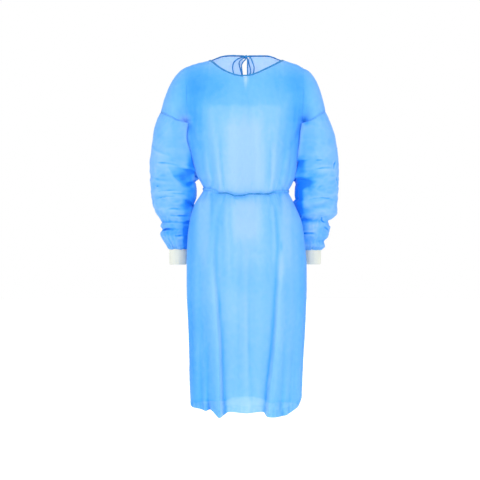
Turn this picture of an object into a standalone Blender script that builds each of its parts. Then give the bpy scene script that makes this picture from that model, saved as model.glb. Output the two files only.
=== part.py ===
"""Disposable surgical gown, filled out as if worn, made of its cut and sewn pieces.

Sizes are in millimetres and are turned into metres when a mesh is made.
+Z is up and the front faces -Y.  The origin is the point between the two
high shoulder points, where the gown hangs from the shoulders.
Tables give the finished outer sizes; every panel is built on its inner face
and is then thickened outwards to the wall.
"""
import math
from collections import namedtuple

import bpy
import bmesh
from mathutils import Vector

# ------------------------------------------------------------------ driving sizes
MM = 0.001
WALL = 1.6            # thickness of a cloth wall
SEAM = 0.3            # gap between two pieces at a seam
TAPE_WALL = 1.2       # thickness of a tie
CUFF_WALL = 2.0       # knitted wrist cuff, double layer
ARMPIT_Z = -213.0     # level of the underarm points
NECK_HALF = 128.0     # half width of the neck hole in the panels
NECK_ANGLE = 40.0     # column that runs up to the high shoulder point
SECTION_POWER = 2.3   # squareness of the body sections (2 is an ellipse)
YOKE_POWER = 2.2      # roundness over the shoulders
ARM_FRONT = 62.0      # depth of the armhole in front of the shoulder seam
ARM_BACK = 58.0       # and behind it
LAP = 3.6             # how far the upper back edge stands off the lower one
BAND = 6.5            # width of the neck binding
BAND_WALL = 2.8       # thickness of the binding folded over the raw edge
BELT_HEIGHT = 8.0     # waist tie, flat height
BELT_GAP = 0.7        # waist tie off the cloth
CUFF_TUCK = 7.0       # cuff inside the end of the sleeve

FRONT, BACK = -1, 1   # sign of Y
LEFT, RIGHT = -1, 1   # sign of X, as seen from the front

# ------------------------------------------------------------------ tables
# sections of the body below the underarm: half widths to each side, depths, Y of the side seam
Section = namedtuple("Section", "z left right front back side_y")
BODY = [
    Section(-213, 200.0, 189.0, 112, 92, 0),
    Section(-250, 200.5, 180.0, 113, 92, -8),
    Section(-300, 189.5, 172.6, 112, 90, -14),
    Section(-351, 178.5, 170.5, 108, 86, -16),
    Section(-391, 165.5, 163.0, 102, 81, -16),
    Section(-412, 154.0, 153.0, 98, 78, -14),
    Section(-435, 144.5, 141.0, 95, 76, -12),
    Section(-460, 158.0, 152.0, 101, 86, -14),
    Section(-482, 173.0, 161.0, 107, 96, -17),
    Section(-509, 183.0, 173.0, 112, 106, -18),
    Section(-543, 191.0, 185.0, 116, 114, -20),
    Section(-586, 196.0, 192.5, 119, 120, -20),
    Section(-637, 198.0, 197.5, 121, 125, -20),
    Section(-690, 199.0, 201.0, 122, 129, -20),
    Section(-771, 199.0, 201.5, 122, 133, -20),
    Section(-905, 194.5, 196.5, 120, 138, -18),
    Section(-1040, 191.5, 189.0, 117, 142, -16),
    Section(-1120, 188.5, 186.0, 115, 145, -14),
    Section(-1180, 186.0, 188.0, 114, 147, -12),
]

# rows of the panels below the underarm; "belt" rows are measured from the line of the waist tie
Row = namedtuple("Row", "kind value")
ROWS = [Row("hem", 0), Row("z", -1100), Row("z", -995), Row("z", -885), Row("z", -780),
        Row("z", -690), Row("z", -615), Row("z", -560), Row("z", -515),
        Row("belt", -22), Row("belt", -5), Row("belt", 5), Row("belt", 22),
        Row("z", -385), Row("z", -345), Row("z", -300), Row("z", -255), Row("z", ARMPIT_Z)]

# line of the waist tie and of the hem, X across, Z for the front and for the back
Line = namedtuple("Line", "x z")
BELT_FRONT = [Line(-145, -432), Line(-115, -437), Line(-90, -448), Line(-64, -449), Line(-34, -457),
              Line(-13, -456), Line(12, -451), Line(73, -451), Line(90, -445), Line(142, -441)]
BELT_BACK = [Line(-145, -432), Line(-80, -436), Line(0, -443), Line(80, -440), Line(142, -441)]
HEM_FRONT = [Line(-186, -1159), Line(-150, -1167), Line(-118, -1170), Line(-90, -1178), Line(-50, -1171),
             Line(0, -1172), Line(50, -1171), Line(66, -1178), Line(110, -1180), Line(150, -1176),
             Line(186, -1166)]
HEM_BACK = [Line(-186, -1159), Line(-120, -1154), Line(-40, -1150), Line(40, -1151), Line(120, -1156),
            Line(186, -1166)]

# neck edge of the panels and the shoulder line
NECK_FRONT = [Line(-128, -1.5), Line(-112, -15), Line(-95, -31), Line(-72, -46), Line(-50, -56),
              Line(-20, -63.5), Line(0, -63), Line(15, -60.5), Line(36, -54), Line(66, -39),
              Line(96, -23), Line(113, -11.5), Line(128, -1.5)]
NECK_BACK = [Line(-128, -1.5), Line(-110, 5.5), Line(-91, 14.0), Line(-72, 19), Line(-45, 21.5),
             Line(0, 21.0), Line(45, 20.5), Line(72, 19), Line(91, 13.5), Line(110, 4.5), Line(128, -1.5)]
SHOULDER_LEFT = [Line(128, 0), Line(147, -5), Line(170, -10.5), Line(200, -21)]
SHOULDER_RIGHT = [Line(128, 0), Line(147, -6.5), Line(170, -13.5), Line(192, -27)]

# centre back edges of the two back panels (they part below the neck tie and lap lower down)
Edge = namedtuple("Edge", "z left_panel right_panel")
BACK_EDGES = [Edge(30, -9, 7), Edge(20, -9, 7), Edge(2, -15, 5), Edge(-15, -21, 3), Edge(-45, -20, 3),
              Edge(-75, -13, 2), Edge(-105, -5, 0), Edge(-140, 9, -10), Edge(-213, 25, -26),
              Edge(-330, 31, -32), Edge(-443, 33, -34), Edge(-700, 31, -33), Edge(-1190, 27, -31)]

# folds of the body: one short table each, a row for each station down the fold
Fold = namedtuple("Fold", "z x height reach_left reach_right")
FRONT_FOLDS = {
    "skirt_left": [Fold(-447, -92, 0, 30, 24), Fold(-520, -112, 8, 42, 26), Fold(-650, -124, 13, 46, 30),
                   Fold(-800, -114, 20, 50, 34), Fold(-950, -101, 31, 52, 38), Fold(-1185, -91, 54, 52, 44)],
    "skirt_right": [Fold(-447, 100, 0, 24, 30), Fold(-520, 116, 8, 26, 42), Fold(-650, 122, 13, 28, 46),
                    Fold(-800, 112, 20, 28, 56), Fold(-950, 102, 31, 28, 66), Fold(-1185, 80, 50, 28, 92)],
    "chest_left": [Fold(-236, -118, 0, 34, 34), Fold(-310, -112, 5, 32, 32), Fold(-380, -100, 6, 28, 28),
                   Fold(-436, -92, 3, 20, 20), Fold(-446, -90, 0, 20, 20)],
    "chest_right": [Fold(-236, 110, 0, 34, 34), Fold(-310, 106, 5, 30, 30), Fold(-380, 98, 6, 26, 26),
                    Fold(-432, 90, 3, 20, 20), Fold(-442, 88, 0, 20, 20)],
}
BACK_FOLDS = {
    "skirt_left": [Fold(-447, -84, 0, 26, 24), Fold(-540, -92, 8, 34, 28), Fold(-760, -100, 15, 40, 32),
                   Fold(-960, -98, 22, 44, 36), Fold(-1185, -94, 32, 48, 38)],
    "skirt_right": [Fold(-447, 92, 0, 24, 26), Fold(-540, 98, 9, 28, 34), Fold(-760, 104, 17, 32, 40),
                    Fold(-960, 112, 24, 36, 42), Fold(-1185, 108, 34, 40, 46)],
    "blade_left": [Fold(-236, -112, 0, 30, 30), Fold(-330, -104, 5, 28, 28), Fold(-434, -88, 3, 20, 20),
                   Fold(-446, -86, 0, 20, 20)],
    "blade_right": [Fold(-236, 104, 0, 30, 30), Fold(-330, 100, 5, 26, 26), Fold(-434, 92, 3, 20, 20),
                    Fold(-446, 90, 0, 20, 20)],
}

# rings of the drop shoulder and sleeve: outer and inner point in the front view, Y of the middle, half depth
Ring = namedtuple("Ring", "x_out z_out x_in z_in y_mid depth")
SHOULDER_TURN = {LEFT: Ring(-256, -41, -204, -199, 0, 66), RIGHT: Ring(241, -40, 195, -199, 0, 66)}
SLEEVES = {
    LEFT: [
        Ring(-290, -176, -208.0, -214, 0, 66), Ring(-304.5, -206, -206.5, -232, 0, 67),
        Ring(-315, -250, -203.3, -256, 4, 67), Ring(-321, -300, -191.4, -302, 8, 67),
        Ring(-326.5, -345, -180.5, -348, 10, 66), Ring(-325.5, -398, -169.0, -398, 12, 64),
        Ring(-322, -448, -170.5, -448, 15, 60), Ring(-317, -482, -176.3, -486, 20, 56),
        Ring(-308.3, -508, -183.3, -511, 25, 52), Ring(-293.5, -531, -188.6, -533, 30, 47),
        Ring(-286.2, -545, -190.2, -547, 33, 44), Ring(-291.5, -557, -191.0, -558, 34, 46),
        Ring(-286.0, -567, -192.0, -568, 35, 43), Ring(-292.0, -583, -197.0, -583, 36.5, 45),
        Ring(-280.0, -609, -198.5, -608, 40, 40), Ring(-267.6, -627, -199.6, -627, 42, 34)],
    RIGHT: [
        Ring(266, -172, 196.5, -216, 0, 66), Ring(282.0, -208, 193.5, -233, 0, 67),
        Ring(297.7, -250, 181.6, -256, 4, 67), Ring(306.2, -300, 174.2, -302, 8, 67),
        Ring(310.9, -345, 172.9, -348, 10, 66), Ring(311.6, -397, 166.2, -397, 12, 64),
        Ring(310.0, -441, 164.3, -441, 15, 61), Ring(307.9, -474, 165.8, -474, 18, 57),
        Ring(307.5, -511, 176.5, -513, 32, 52), Ring(291.0, -529, 186.0, -530, 38, 47),
        Ring(277.4, -540, 191.0, -541, 42, 44), Ring(281.9, -562, 190.6, -562, 47, 46),
        Ring(278.8, -588, 190.6, -588, 52, 44), Ring(265.2, -608, 191.2, -608, 56, 38),
        Ring(268.6, -623, 191.2, -622, 58, 38), Ring(261.0, -631, 191.0, -631, 60, 32)],
}
# bulges of cloth across the sleeve: Z at the outer and the inner edge, height, reach up and down
Bulge = namedtuple("Bulge", "z_out z_in height reach")
SLEEVE_BULGES = {
    LEFT: [Bulge(-275, -330, 4.0, 34), Bulge(-372, -356, 4.5, 34), Bulge(-436, -470, 4.0, 30),
           Bulge(-492, -516, 3.0, 20)],
    RIGHT: [Bulge(-292, -338, 4.0, 34), Bulge(-378, -350, 4.5, 34), Bulge(-450, -486, 4.0, 30),
            Bulge(-500, -520, 3.0, 20)],
}
# wrist cuffs: middle X and Y, half width, half depth, top seam and lower end
Cuff = namedtuple("Cuff", "x y half_width half_depth seam_z end_z")
CUFFS = {LEFT: Cuff(-232.3, 42, 30.5, 26, -633.0, -686.5), RIGHT: Cuff(224.1, 60, 30.6, 26, -636.0, -686.0)}

# ties: stations along the middle of a strip, X, Y and Z; the waist strips use "off", the distance off the cloth
Station = namedtuple("Station", "x y z")
KNOT_NECK = Station(-1.2, 56.5, 21.0)
NECK_STRIPS = {
    "neck_loop_left": [Station(-9, 54, 19), Station(-19, 52, 17), Station(-31, 50, 11), Station(-43, 49, 0),
                       Station(-47, 49, -16), Station(-45, 50, -32), Station(-38, 51, -48),
                       Station(-29, 53, -58), Station(-20, 55, -52), Station(-17, 57, -38),
                       Station(-22, 59, -17), Station(-25, 59, 1), Station(-18, 58.5, 11),
                       Station(-9, 58.5, 14.5)],
    "neck_loop_right": [Station(6.6, 54, 20), Station(14, 51, 16), Station(21, 49, -1), Station(25.5, 48, -16),
                        Station(24, 49, -34), Station(17, 51, -50), Station(11.5, 54, -42),
                        Station(14, 57, -30), Station(12, 59, -16), Station(8, 59, -3), Station(6, 58.5, 9)],
    "neck_end_left": [Station(-4, 51, 10.5), Station(-11.5, 49.5, 2), Station(-17, 49, -12), Station(-14, 49.5, -40),
                      Station(-11, 50, -80), Station(-13, 50, -120), Station(-10, 50, -150)],
    "neck_end_right": [Station(2.5, 52, 11), Station(3.6, 50.5, 2), Station(3.2, 50, -15), Station(3.5, 50, -50),
                       Station(5.5, 50, -95), Station(4, 50, -140), Station(6, 50, -170)],
}
Drop = namedtuple("Drop", "x z off")
KNOT_WAIST = Drop(0, -443, 6.4)
WAIST_STRIPS = {
    "waist_loop_left": [Drop(-10, -440, 6.5), Drop(-26, -436, 11), Drop(-48, -446, 15), Drop(-66, -466, 15),
                        Drop(-73, -486, 12), Drop(-62, -494, 8), Drop(-44, -480, 7), Drop(-26, -460, 6),
                        Drop(-12, -451, 5)],
    "waist_loop_right": [Drop(10, -440, 6.5), Drop(25, -437, 11), Drop(45, -449, 15), Drop(60, -472, 15),
                         Drop(64, -493, 12), Drop(53, -500, 8), Drop(38, -484, 7), Drop(24, -463, 6),
                         Drop(12, -451, 5)],
    "waist_end_left": [Drop(-5, -454, 6.0), Drop(-12, -470, 5), Drop(-18, -500, 5), Drop(-22, -560, 5),
                       Drop(-19, -620, 5), Drop(-24, -680, 5), Drop(-21, -720, 5)],
    "waist_end_right": [Drop(4.5, -454, 6.0), Drop(10, -470, 5), Drop(15, -500, 5), Drop(12, -560, 5),
                        Drop(17, -620, 5), Drop(14, -680, 5), Drop(18, -752, 5)],
}

# finish of each piece: colour, roughness
Finish = namedtuple("Finish", "colour roughness")
CLOTH = Finish((0.20, 0.52, 0.92), 0.62)
TRIM = Finish((0.05, 0.25, 0.68), 0.55)
KNIT = Finish((0.80, 0.81, 0.74), 0.85)


# ------------------------------------------------------------------ small helpers
def smooth(t):
    t = max(0.0, min(1.0, t))
    return t * t * (3.0 - 2.0 * t)


def lerp(a, b, t):
    return a + (b - a) * t


def track(rows, key, name, at):
    """Value of column `name` where column `key` is `at`: smooth, and never past the rows' own values."""
    pts = sorted((getattr(r, key), getattr(r, name)) for r in rows)
    if at <= pts[0][0]:
        return pts[0][1]
    if at >= pts[-1][0]:
        return pts[-1][1]
    k = max(i for i in range(len(pts) - 1) if pts[i][0] <= at)

    def chord(i):
        return (pts[i + 1][1] - pts[i][1]) / (pts[i + 1][0] - pts[i][0])

    def slope(i):
        if i == 0:
            return chord(0)
        if i == len(pts) - 1:
            return chord(i - 1)
        a, b = chord(i - 1), chord(i)
        return 0.0 if a * b <= 0 else 2.0 * a * b / (a + b)

    h = pts[k + 1][0] - pts[k][0]
    t = (at - pts[k][0]) / h
    return ((2 * t ** 3 - 3 * t * t + 1) * pts[k][1] + (t ** 3 - 2 * t * t + t) * h * slope(k)
            + (3 * t * t - 2 * t ** 3) * pts[k + 1][1] + (t ** 3 - t * t) * h * slope(k + 1))


def side_of(angle):
    return LEFT if angle < 0 else RIGHT


def half_width(z, angle):
    return track(BODY, "z", "left" if angle < 0 else "right", z) - WALL


def depth_factor(angle):
    """1 at the middle of the front or back, 0 at the side."""
    return (1.0 - abs(math.sin(math.radians(angle))) ** SECTION_POWER) ** (1.0 / SECTION_POWER)


def fold_offset(face, x, z):
    """How far the folds push the cloth out at this place."""
    total = 0.0
    for stations in (FRONT_FOLDS if face == FRONT else BACK_FOLDS).values():
        if not stations[-1].z <= z <= stations[0].z:
            continue
        u = x - track(stations, "z", "x", z)
        reach = track(stations, "z", "reach_left" if u < 0 else "reach_right", z)
        if abs(u) < reach:
            total += track(stations, "z", "height", z) * math.cos(0.5 * math.pi * u / reach) ** 2
    return total


def belt_z(face, x):
    return track(BELT_FRONT if face == FRONT else BELT_BACK, "x", "z", x)


def row_height(face, row, angle):
    if row.kind == "z":
        return row.value
    if row.kind == "hem":
        x = math.sin(math.radians(angle)) * 186.0
        return track(HEM_FRONT if face == FRONT else HEM_BACK, "x", "z", x)
    return belt_z(face, math.sin(math.radians(angle)) * 143.0) + row.value


# ------------------------------------------------------------------ the body's form (inner face of the cloth)
def below_armpit(face, angle, z):
    """Point of the body below the underarm; angle -90 is the left side, 0 the middle, 90 the right side."""
    shift = (belt_z(face, math.sin(math.radians(angle)) * 143.0) + 435.0) * math.exp(-((z + 440.0) / 55.0) ** 2)
    zs = z - shift
    c = depth_factor(angle)
    side_y = track(BODY, "z", "side_y", zs)
    depth = track(BODY, "z", "front" if face == FRONT else "back", zs) - WALL
    x = half_width(zs, angle) * math.sin(math.radians(angle))
    y = side_y * (1.0 - c) + face * depth * c
    y += face * fold_offset(face, x, z) * smooth(c / 0.35)
    return Vector((x, y, z))


def shoulder_x(angle):
    """X on the shoulder line of the column that leaves the underarm row at this angle."""
    s, neck = abs(math.sin(math.radians(angle))), math.sin(math.radians(NECK_ANGLE))
    end = (200.0 if angle < 0 else 192.0) - WALL
    return NECK_HALF * s / neck if s <= neck else lerp(NECK_HALF, end, (s - neck) / (1.0 - neck))


def shoulder_z(face, angle):
    """Height of the shoulder line; over the neck hole it goes on as a dome that the neck edge is cut from."""
    x = shoulder_x(angle)
    if x >= NECK_HALF:
        return track(SHOULDER_LEFT if angle < 0 else SHOULDER_RIGHT, "x", "z", x) - WALL
    u = 1.0 - (x / NECK_HALF) ** 2
    return -WALL + 20.0 * u + (75.0 * u ** 1.5 if face == BACK else 0.0)


def yoke(face, angle, v):
    """Point of the body above the underarm row: v 0 is that row, 1 the shoulder line or the neck edge."""
    top = shoulder_z(face, angle)
    sgn = side_of(angle)
    xs = shoulder_x(angle)
    reach = 1.0
    if xs < NECK_HALF:
        edge = track(NECK_FRONT if face == FRONT else NECK_BACK, "x", "z", sgn * xs) - WALL
        reach = min(1.0, (edge - ARMPIT_Z) / (top - ARMPIT_Z))
    q = smooth((abs(angle) - 55.0) / 35.0)
    level = lerp(math.sin(v * math.asin(reach)), 0.5 * (1.0 - math.cos(math.pi * v)), q)
    c = depth_factor(angle)
    full = track(BODY, "z", "front" if face == FRONT else "back", ARMPIT_Z) - WALL
    here = full * (1.0 - 0.33 * math.sin(math.radians(angle)) ** 2)
    w = 1.0 - c * full / here
    dome = max(0.0, 1.0 - level ** YOKE_POWER) ** (1.0 / YOKE_POWER)
    arm = math.sqrt(max(0.0, 1.0 - (2.0 * level - 1.0) ** 2))
    soft = math.sin(math.pi * level) ** 2 if level < 0.5 else arm
    arm = lerp(arm, soft, min(1.0, 2.0 * math.cos(math.radians(angle))))
    y = face * ((1.0 - w) * here * dome + w * ((ARM_FRONT if face == FRONT else ARM_BACK) - WALL) * arm)
    x = lerp(half_width(ARMPIT_Z, angle) * abs(math.sin(math.radians(angle))), xs, level)
    return Vector((sgn * x, y, lerp(ARMPIT_Z, top, level)))


def ring_point(ring, psi, inset=WALL):
    """Point of a sleeve ring: psi 0 is the side by the body, 90 the front, 180 the outside, 270 the back."""
    sgn = 1.0 if ring.x_out > 0 else -1.0
    f = 0.5 * (1.0 - math.cos(math.radians(psi)))
    x = lerp(ring.x_in + sgn * inset, ring.x_out - sgn * inset, f)
    z = lerp(ring.z_in, ring.z_out, f)
    return Vector((x, ring.y_mid - (ring.depth - inset) * math.sin(math.radians(psi)), z))


def drop_shoulder(face, sgn, v, w):
    """Loft from the armhole column of the yoke (w 0) round the shoulder turn to the sleeve seam (w 1)."""
    psi = 180.0 * v if face == FRONT else 360.0 - 180.0 * v
    a = yoke(face, 90.0 * sgn, v)
    c = ring_point(SHOULDER_TURN[sgn], psi)
    b = ring_point(SLEEVES[sgn][0], psi)
    return a * (1 - w) ** 2 + c * (2 * w * (1 - w)) + b * w * w


def back_edge_angle(sgn, z):
    """Angle of a back panel's centre edge at this height."""
    x = track(BACK_EDGES, "z", "left_panel" if sgn == LEFT else "right_panel", z)
    w = half_width(max(-1180.0, min(ARMPIT_Z, z)), x)
    return math.degrees(math.asin(max(-1.0, min(1.0, x / w))))


def lap_offset(x, z):
    """The right back panel stands off the left one where it lies over it."""
    return LAP * smooth((92.0 - x) / 52.0) * smooth((-62.0 - z) / 42.0)


def outward(face, angle, z):
    """Unit normal of the body below the underarm."""
    p = below_armpit(face, angle, z)
    du = below_armpit(face, min(89.0, angle + 1.5), z) - below_armpit(face, max(-89.0, angle - 1.5), z)
    dz = below_armpit(face, angle, z + 2.0) - below_armpit(face, angle, z - 2.0)
    n = du.cross(dz) if face == FRONT else dz.cross(du)
    return n.normalized()


# ------------------------------------------------------------------ mesh making
def clear_scene():
    for obj in list(bpy.data.objects):
        bpy.data.objects.remove(obj, do_unlink=True)


def material(name, finish):
    mat = bpy.data.materials.new(name)
    mat.use_nodes = True
    shader = mat.node_tree.nodes["Principled BSDF"]
    shader.inputs["Base Color"].default_value = (*finish.colour, 1.0)
    shader.inputs["Roughness"].default_value = finish.roughness
    shader.inputs["Metallic"].default_value = 0.0
    return mat


def solidify(obj, wall, offset):
    mod = obj.modifiers.new("wall", "SOLIDIFY")
    mod.thickness = wall * MM
    mod.offset = offset
    mod.use_rim = True
    mod.use_even_offset = False


def sheet_object(name, grid, quads, finish, wall=WALL, offset=1.0):
    """An open surface from named points, thickened to the wall.  `grid` maps a key to a point in mm."""
    mesh = bpy.data.meshes.new(name)
    bm = bmesh.new()
    verts = {key: bm.verts.new(p * MM) for key, p in grid.items()}
    for quad in quads:
        bm.faces.new([verts[k] for k in quad])
    bm.to_mesh(mesh)
    bm.free()
    mesh.shade_smooth()
    obj = bpy.data.objects.new(name, mesh)
    gown.objects.link(obj)
    obj.data.materials.append(material(name + "_finish", finish))
    solidify(obj, wall, offset)
    return obj


def grid_quads(rows, cols, flip=False, wrap=False):
    """Quads between rows 0..rows and columns 0..cols, seen with rows going up and columns to the right."""
    out = []
    for i in range(rows):
        for j in range(cols):
            k = (j + 1) % cols if wrap else j + 1
            quad = [(i, j), (i, k), (i + 1, k), (i + 1, j)]
            out.append(quad[::-1] if flip else quad)
    return out


INNER_COLUMNS = 6      # from the middle to the high shoulder point
OUTER_COLUMNS = 5      # from there to the side
YOKE_ROWS = 8
WING_COLUMNS = 5


def side_angles(sgn):
    """Angles from the side of the body to the high shoulder point."""
    return [sgn * lerp(90.0, NECK_ANGLE, j / OUTER_COLUMNS) for j in range(OUTER_COLUMNS + 1)]


def front_panel():
    inner = [lerp(-NECK_ANGLE, NECK_ANGLE, j / (2 * INNER_COLUMNS)) for j in range(2 * INNER_COLUMNS + 1)]
    angles = side_angles(LEFT)[:-1] + inner + side_angles(RIGHT)[-2::-1]
    last = len(angles) - 1
    grid, quads = {}, []
    seam = Vector((0.0, -SEAM / 2, 0.0))
    for i, row in enumerate(ROWS):
        for j, a in enumerate(angles):
            p = below_armpit(FRONT, a, row_height(FRONT, row, a))
            grid[(i, j)] = p + seam if j in (0, last) else p
    base = len(ROWS) - 1
    for r in range(1, YOKE_ROWS + 1):
        for j, a in enumerate(angles):
            p = yoke(FRONT, a, r / YOKE_ROWS)
            grid[(base + r, j)] = p + seam if r == YOKE_ROWS and abs(a) >= NECK_ANGLE - 0.01 else p
    quads += grid_quads(base + YOKE_ROWS, last)
    for sgn in (LEFT, RIGHT):
        rim = 0 if sgn == LEFT else last
        for r in range(YOKE_ROWS + 1):
            grid[(base + r, (sgn, 0))] = grid[(base + r, rim)]
            for k in range(1, WING_COLUMNS + 1):
                p = drop_shoulder(FRONT, sgn, r / YOKE_ROWS, k / WING_COLUMNS)
                grid[(base + r, (sgn, k))] = p + seam if r in (0, YOKE_ROWS) else p
        for r in range(YOKE_ROWS):
            for k in range(WING_COLUMNS):
                quad = [(base + r, (sgn, k)), (base + r, (sgn, k + 1)),
                        (base + r + 1, (sgn, k + 1)), (base + r + 1, (sgn, k))]
                quad = [(q[0], rim) if q[1] == (sgn, 0) else q for q in quad]
                quads.append(quad if sgn == RIGHT else quad[::-1])
        for r in range(YOKE_ROWS + 1):
            del grid[(base + r, (sgn, 0))]
    return sheet_object("front_panel", grid, quads, CLOTH)


BACK_COLUMNS = 6       # from the high shoulder point to the centre edge


def back_angle(sgn, j, edge):
    """Angle of column j of a back panel whose centre edge lies at angle `edge` in this row."""
    if j <= OUTER_COLUMNS:
        return side_angles(sgn)[j]
    return lerp(sgn * NECK_ANGLE, edge, (j - OUTER_COLUMNS) / BACK_COLUMNS)


def back_panel(sgn, name):
    last = OUTER_COLUMNS + BACK_COLUMNS
    grid, quads = {}, []
    seam = Vector((0.0, SEAM / 2, 0.0))
    base = len(ROWS) - 1

    def lapped(p):
        if sgn == RIGHT:
            p = p + Vector((0.0, lap_offset(p.x, p.z), 0.0))
        return p

    for i, row in enumerate(ROWS):
        edge = back_edge_angle(sgn, row_height(BACK, row, 0.0))
        for j in range(last + 1):
            a = back_angle(sgn, j, edge)
            p = lapped(below_armpit(BACK, a, row_height(BACK, row, a)))
            grid[(i, j)] = p + seam if j == 0 else p
    for r in range(1, YOKE_ROWS + 1):
        v = r / YOKE_ROWS
        edge = back_edge_angle(sgn, yoke(BACK, 0.0, v).z)
        for j in range(last + 1):
            a = back_angle(sgn, j, edge)
            p = lapped(yoke(BACK, a, v))
            grid[(base + r, j)] = p + seam if r == YOKE_ROWS and j <= OUTER_COLUMNS else p
    # seen from behind the left panel's columns run to the left, so its faces turn the other way
    quads += grid_quads(base + YOKE_ROWS, last, flip=(sgn == LEFT))
    for r in range(YOKE_ROWS + 1):
        for k in range(1, WING_COLUMNS + 1):
            p = drop_shoulder(BACK, sgn, r / YOKE_ROWS, k / WING_COLUMNS)
            grid[(base + r, -k)] = p + seam if r in (0, YOKE_ROWS) else p
    for r in range(YOKE_ROWS):
        for k in range(WING_COLUMNS):
            quad = [(base + r, -k - 1), (base + r, -k), (base + r + 1, -k), (base + r + 1, -k - 1)]
            quads.append(quad[::-1] if sgn == LEFT else quad)
    return sheet_object(name, grid, quads, CLOTH)


def bulge_offset(sgn, psi, point):
    """Cross folds of the sleeve; they fade on the side by the body, where the sleeve is close to it."""
    f = 0.5 * (1.0 - math.cos(math.radians(psi)))
    total = 0.0
    for b in SLEEVE_BULGES[sgn]:
        u = point.z - lerp(b.z_in, b.z_out, f)
        if abs(u) < b.reach:
            total += b.height * math.cos(0.5 * math.pi * u / b.reach) ** 2
    return total * smooth(f / 0.3) * (1.0 - smooth((f - 0.9) / 0.1))


def sleeve(sgn, name):
    cols = 2 * YOKE_ROWS
    cuff = CUFFS[sgn]
    room = SEAM + WALL
    end = Ring(cuff.x + sgn * (cuff.half_width + room), cuff.seam_z - 1.5,
               cuff.x - sgn * (cuff.half_width + room), cuff.seam_z - 1.5, cuff.y, cuff.half_depth + room)
    rings = SLEEVES[sgn] + [end]
    grid = {}
    for i, ring in enumerate(rings):
        middle = (ring_point(ring, 0) + ring_point(ring, 180)) / 2
        for j in range(cols):
            psi = 360.0 * j / cols
            p = ring_point(ring, psi)
            if 0 < i < len(rings) - 1:
                radial = (p - middle).normalized()
                p = p + radial * bulge_offset(sgn, psi, p)
            if i == 0:
                # the seam gap, along the arm; the two walls lean towards each other, so it is wider inside
                p = p + (ring_point(rings[1], psi) - p).normalized() * SEAM * 3.2
            grid[(i, j)] = p
    quads = grid_quads(len(rings) - 1, cols, flip=(sgn == RIGHT), wrap=True)
    return sheet_object(name, grid, quads, CLOTH)


def cuff_piece(sgn, name):
    cuff = CUFFS[sgn]
    cols = 2 * YOKE_ROWS
    levels = [cuff.seam_z + CUFF_TUCK, cuff.seam_z - 4.0, lerp(cuff.seam_z, cuff.end_z, 0.6),
              cuff.end_z + 5.0, cuff.end_z]
    pull = [0.0, 0.0, 0.5, 1.0, 3.4]
    grid = {}
    for i, (z, inwards) in enumerate(zip(levels, pull)):
        for j in range(cols):
            psi = math.radians(360.0 * j / cols)
            grid[(i, j)] = Vector((cuff.x - sgn * (cuff.half_width - CUFF_WALL - inwards) * math.cos(psi),
                                   cuff.y - (cuff.half_depth - CUFF_WALL - inwards) * math.sin(psi), z))
    quads = grid_quads(len(levels) - 1, cols, flip=(sgn == RIGHT), wrap=True)
    return sheet_object(name, grid, quads, KNIT, wall=CUFF_WALL)


def neck_binding():
    """A band along the neck edge of the three panels, 0.3 mm above their raw edges."""
    points = []
    n = 2 * INNER_COLUMNS
    front = [yoke(FRONT, lerp(-NECK_ANGLE, NECK_ANGLE, j / n), 1.0) for j in range(n + 1)]

    def back_edge(sgn):
        edge = back_edge_angle(sgn, yoke(BACK, 0.0, 1.0).z)
        return [yoke(BACK, back_angle(sgn, OUTER_COLUMNS + k, edge), 1.0) for k in range(BACK_COLUMNS + 1)]

    points = back_edge(LEFT)[::-1] + front[1:-1] + back_edge(RIGHT)
    middle = Vector((0.0, -10.0, 0.0))
    grid = {}
    for j, p in enumerate(points):
        a, b = points[max(0, j - 1)], points[min(len(points) - 1, j + 1)]
        along = (b - a).normalized()
        inward = (middle - p)
        inward -= along * inward.dot(along)
        inward.z = 0.0
        inward.normalize()
        # the band goes on in the slope of the panel: steep at the front, flatter on the shoulder
        steep = min(1.0, abs(p.y) / 55.0)
        up = Vector((0, 0, 1)) - along * along.z
        rise = (inward * lerp(1.0, 0.55, steep) + up.normalized() * lerp(0.30, 0.85, steep))
        rise -= along * rise.dot(along)
        rise.normalize()
        normal = along.cross(rise).normalized()
        if normal.dot(Vector((p.x, p.y, 60.0))) < 0:
            normal = -normal
        foot = p + normal * (WALL / 2) + rise * (SEAM + 0.9)
        grid[(0, j)] = foot
        grid[(1, j)] = foot + rise * BAND * 0.5 + normal * 0.25
        grid[(2, j)] = foot + rise * BAND
    quads = grid_quads(2, len(points) - 1)
    return sheet_object("neck_binding", grid, quads, TRIM, wall=BAND_WALL, offset=0.0)


def spread(stations, steps):
    """Points at even steps along a smooth curve through the stations."""
    pts = [Vector(s) for s in stations]
    ends = [pts[0] * 2 - pts[1]] + pts + [pts[-1] * 2 - pts[-2]]
    fine = []
    for k in range(1, len(ends) - 2):
        a, b, c, d = ends[k - 1:k + 3]
        for m in range(12):
            t = m / 12.0
            fine.append(0.5 * ((2 * b) + (c - a) * t + (2 * a - 5 * b + 4 * c - d) * t * t
                               + (3 * b - a - 3 * c + d) * t ** 3))
    fine.append(pts[-1])
    run = [0.0]
    for a, b in zip(fine, fine[1:]):
        run.append(run[-1] + (b - a).length)
    out = []
    for k in range(steps + 1):
        want = run[-1] * k / steps
        i = min(len(fine) - 2, max(i for i in range(len(fine)) if run[i] <= want + 1e-9))
        t = (want - run[i]) / max(1e-9, run[i + 1] - run[i])
        out.append(fine[i].lerp(fine[i + 1], min(1.0, t)))
    return out


def strip(name, path, across, width, steps):
    """A flat tie: the path's points with the strip's width set across them."""
    grid = {}
    for j, p in enumerate(path):
        a, b = path[max(0, j - 1)], path[min(len(path) - 1, j + 1)]
        along = (b - a).normalized()
        w = across(j / steps, along, p)
        w = (w - along * w.dot(along)).normalized()
        grid[(0, j)] = p - w * (width / 2)
        grid[(1, j)] = p + w * (width / 2)
    return sheet_object(name, grid, grid_quads(1, len(path) - 1), TRIM, wall=TAPE_WALL, offset=0.0)


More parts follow.
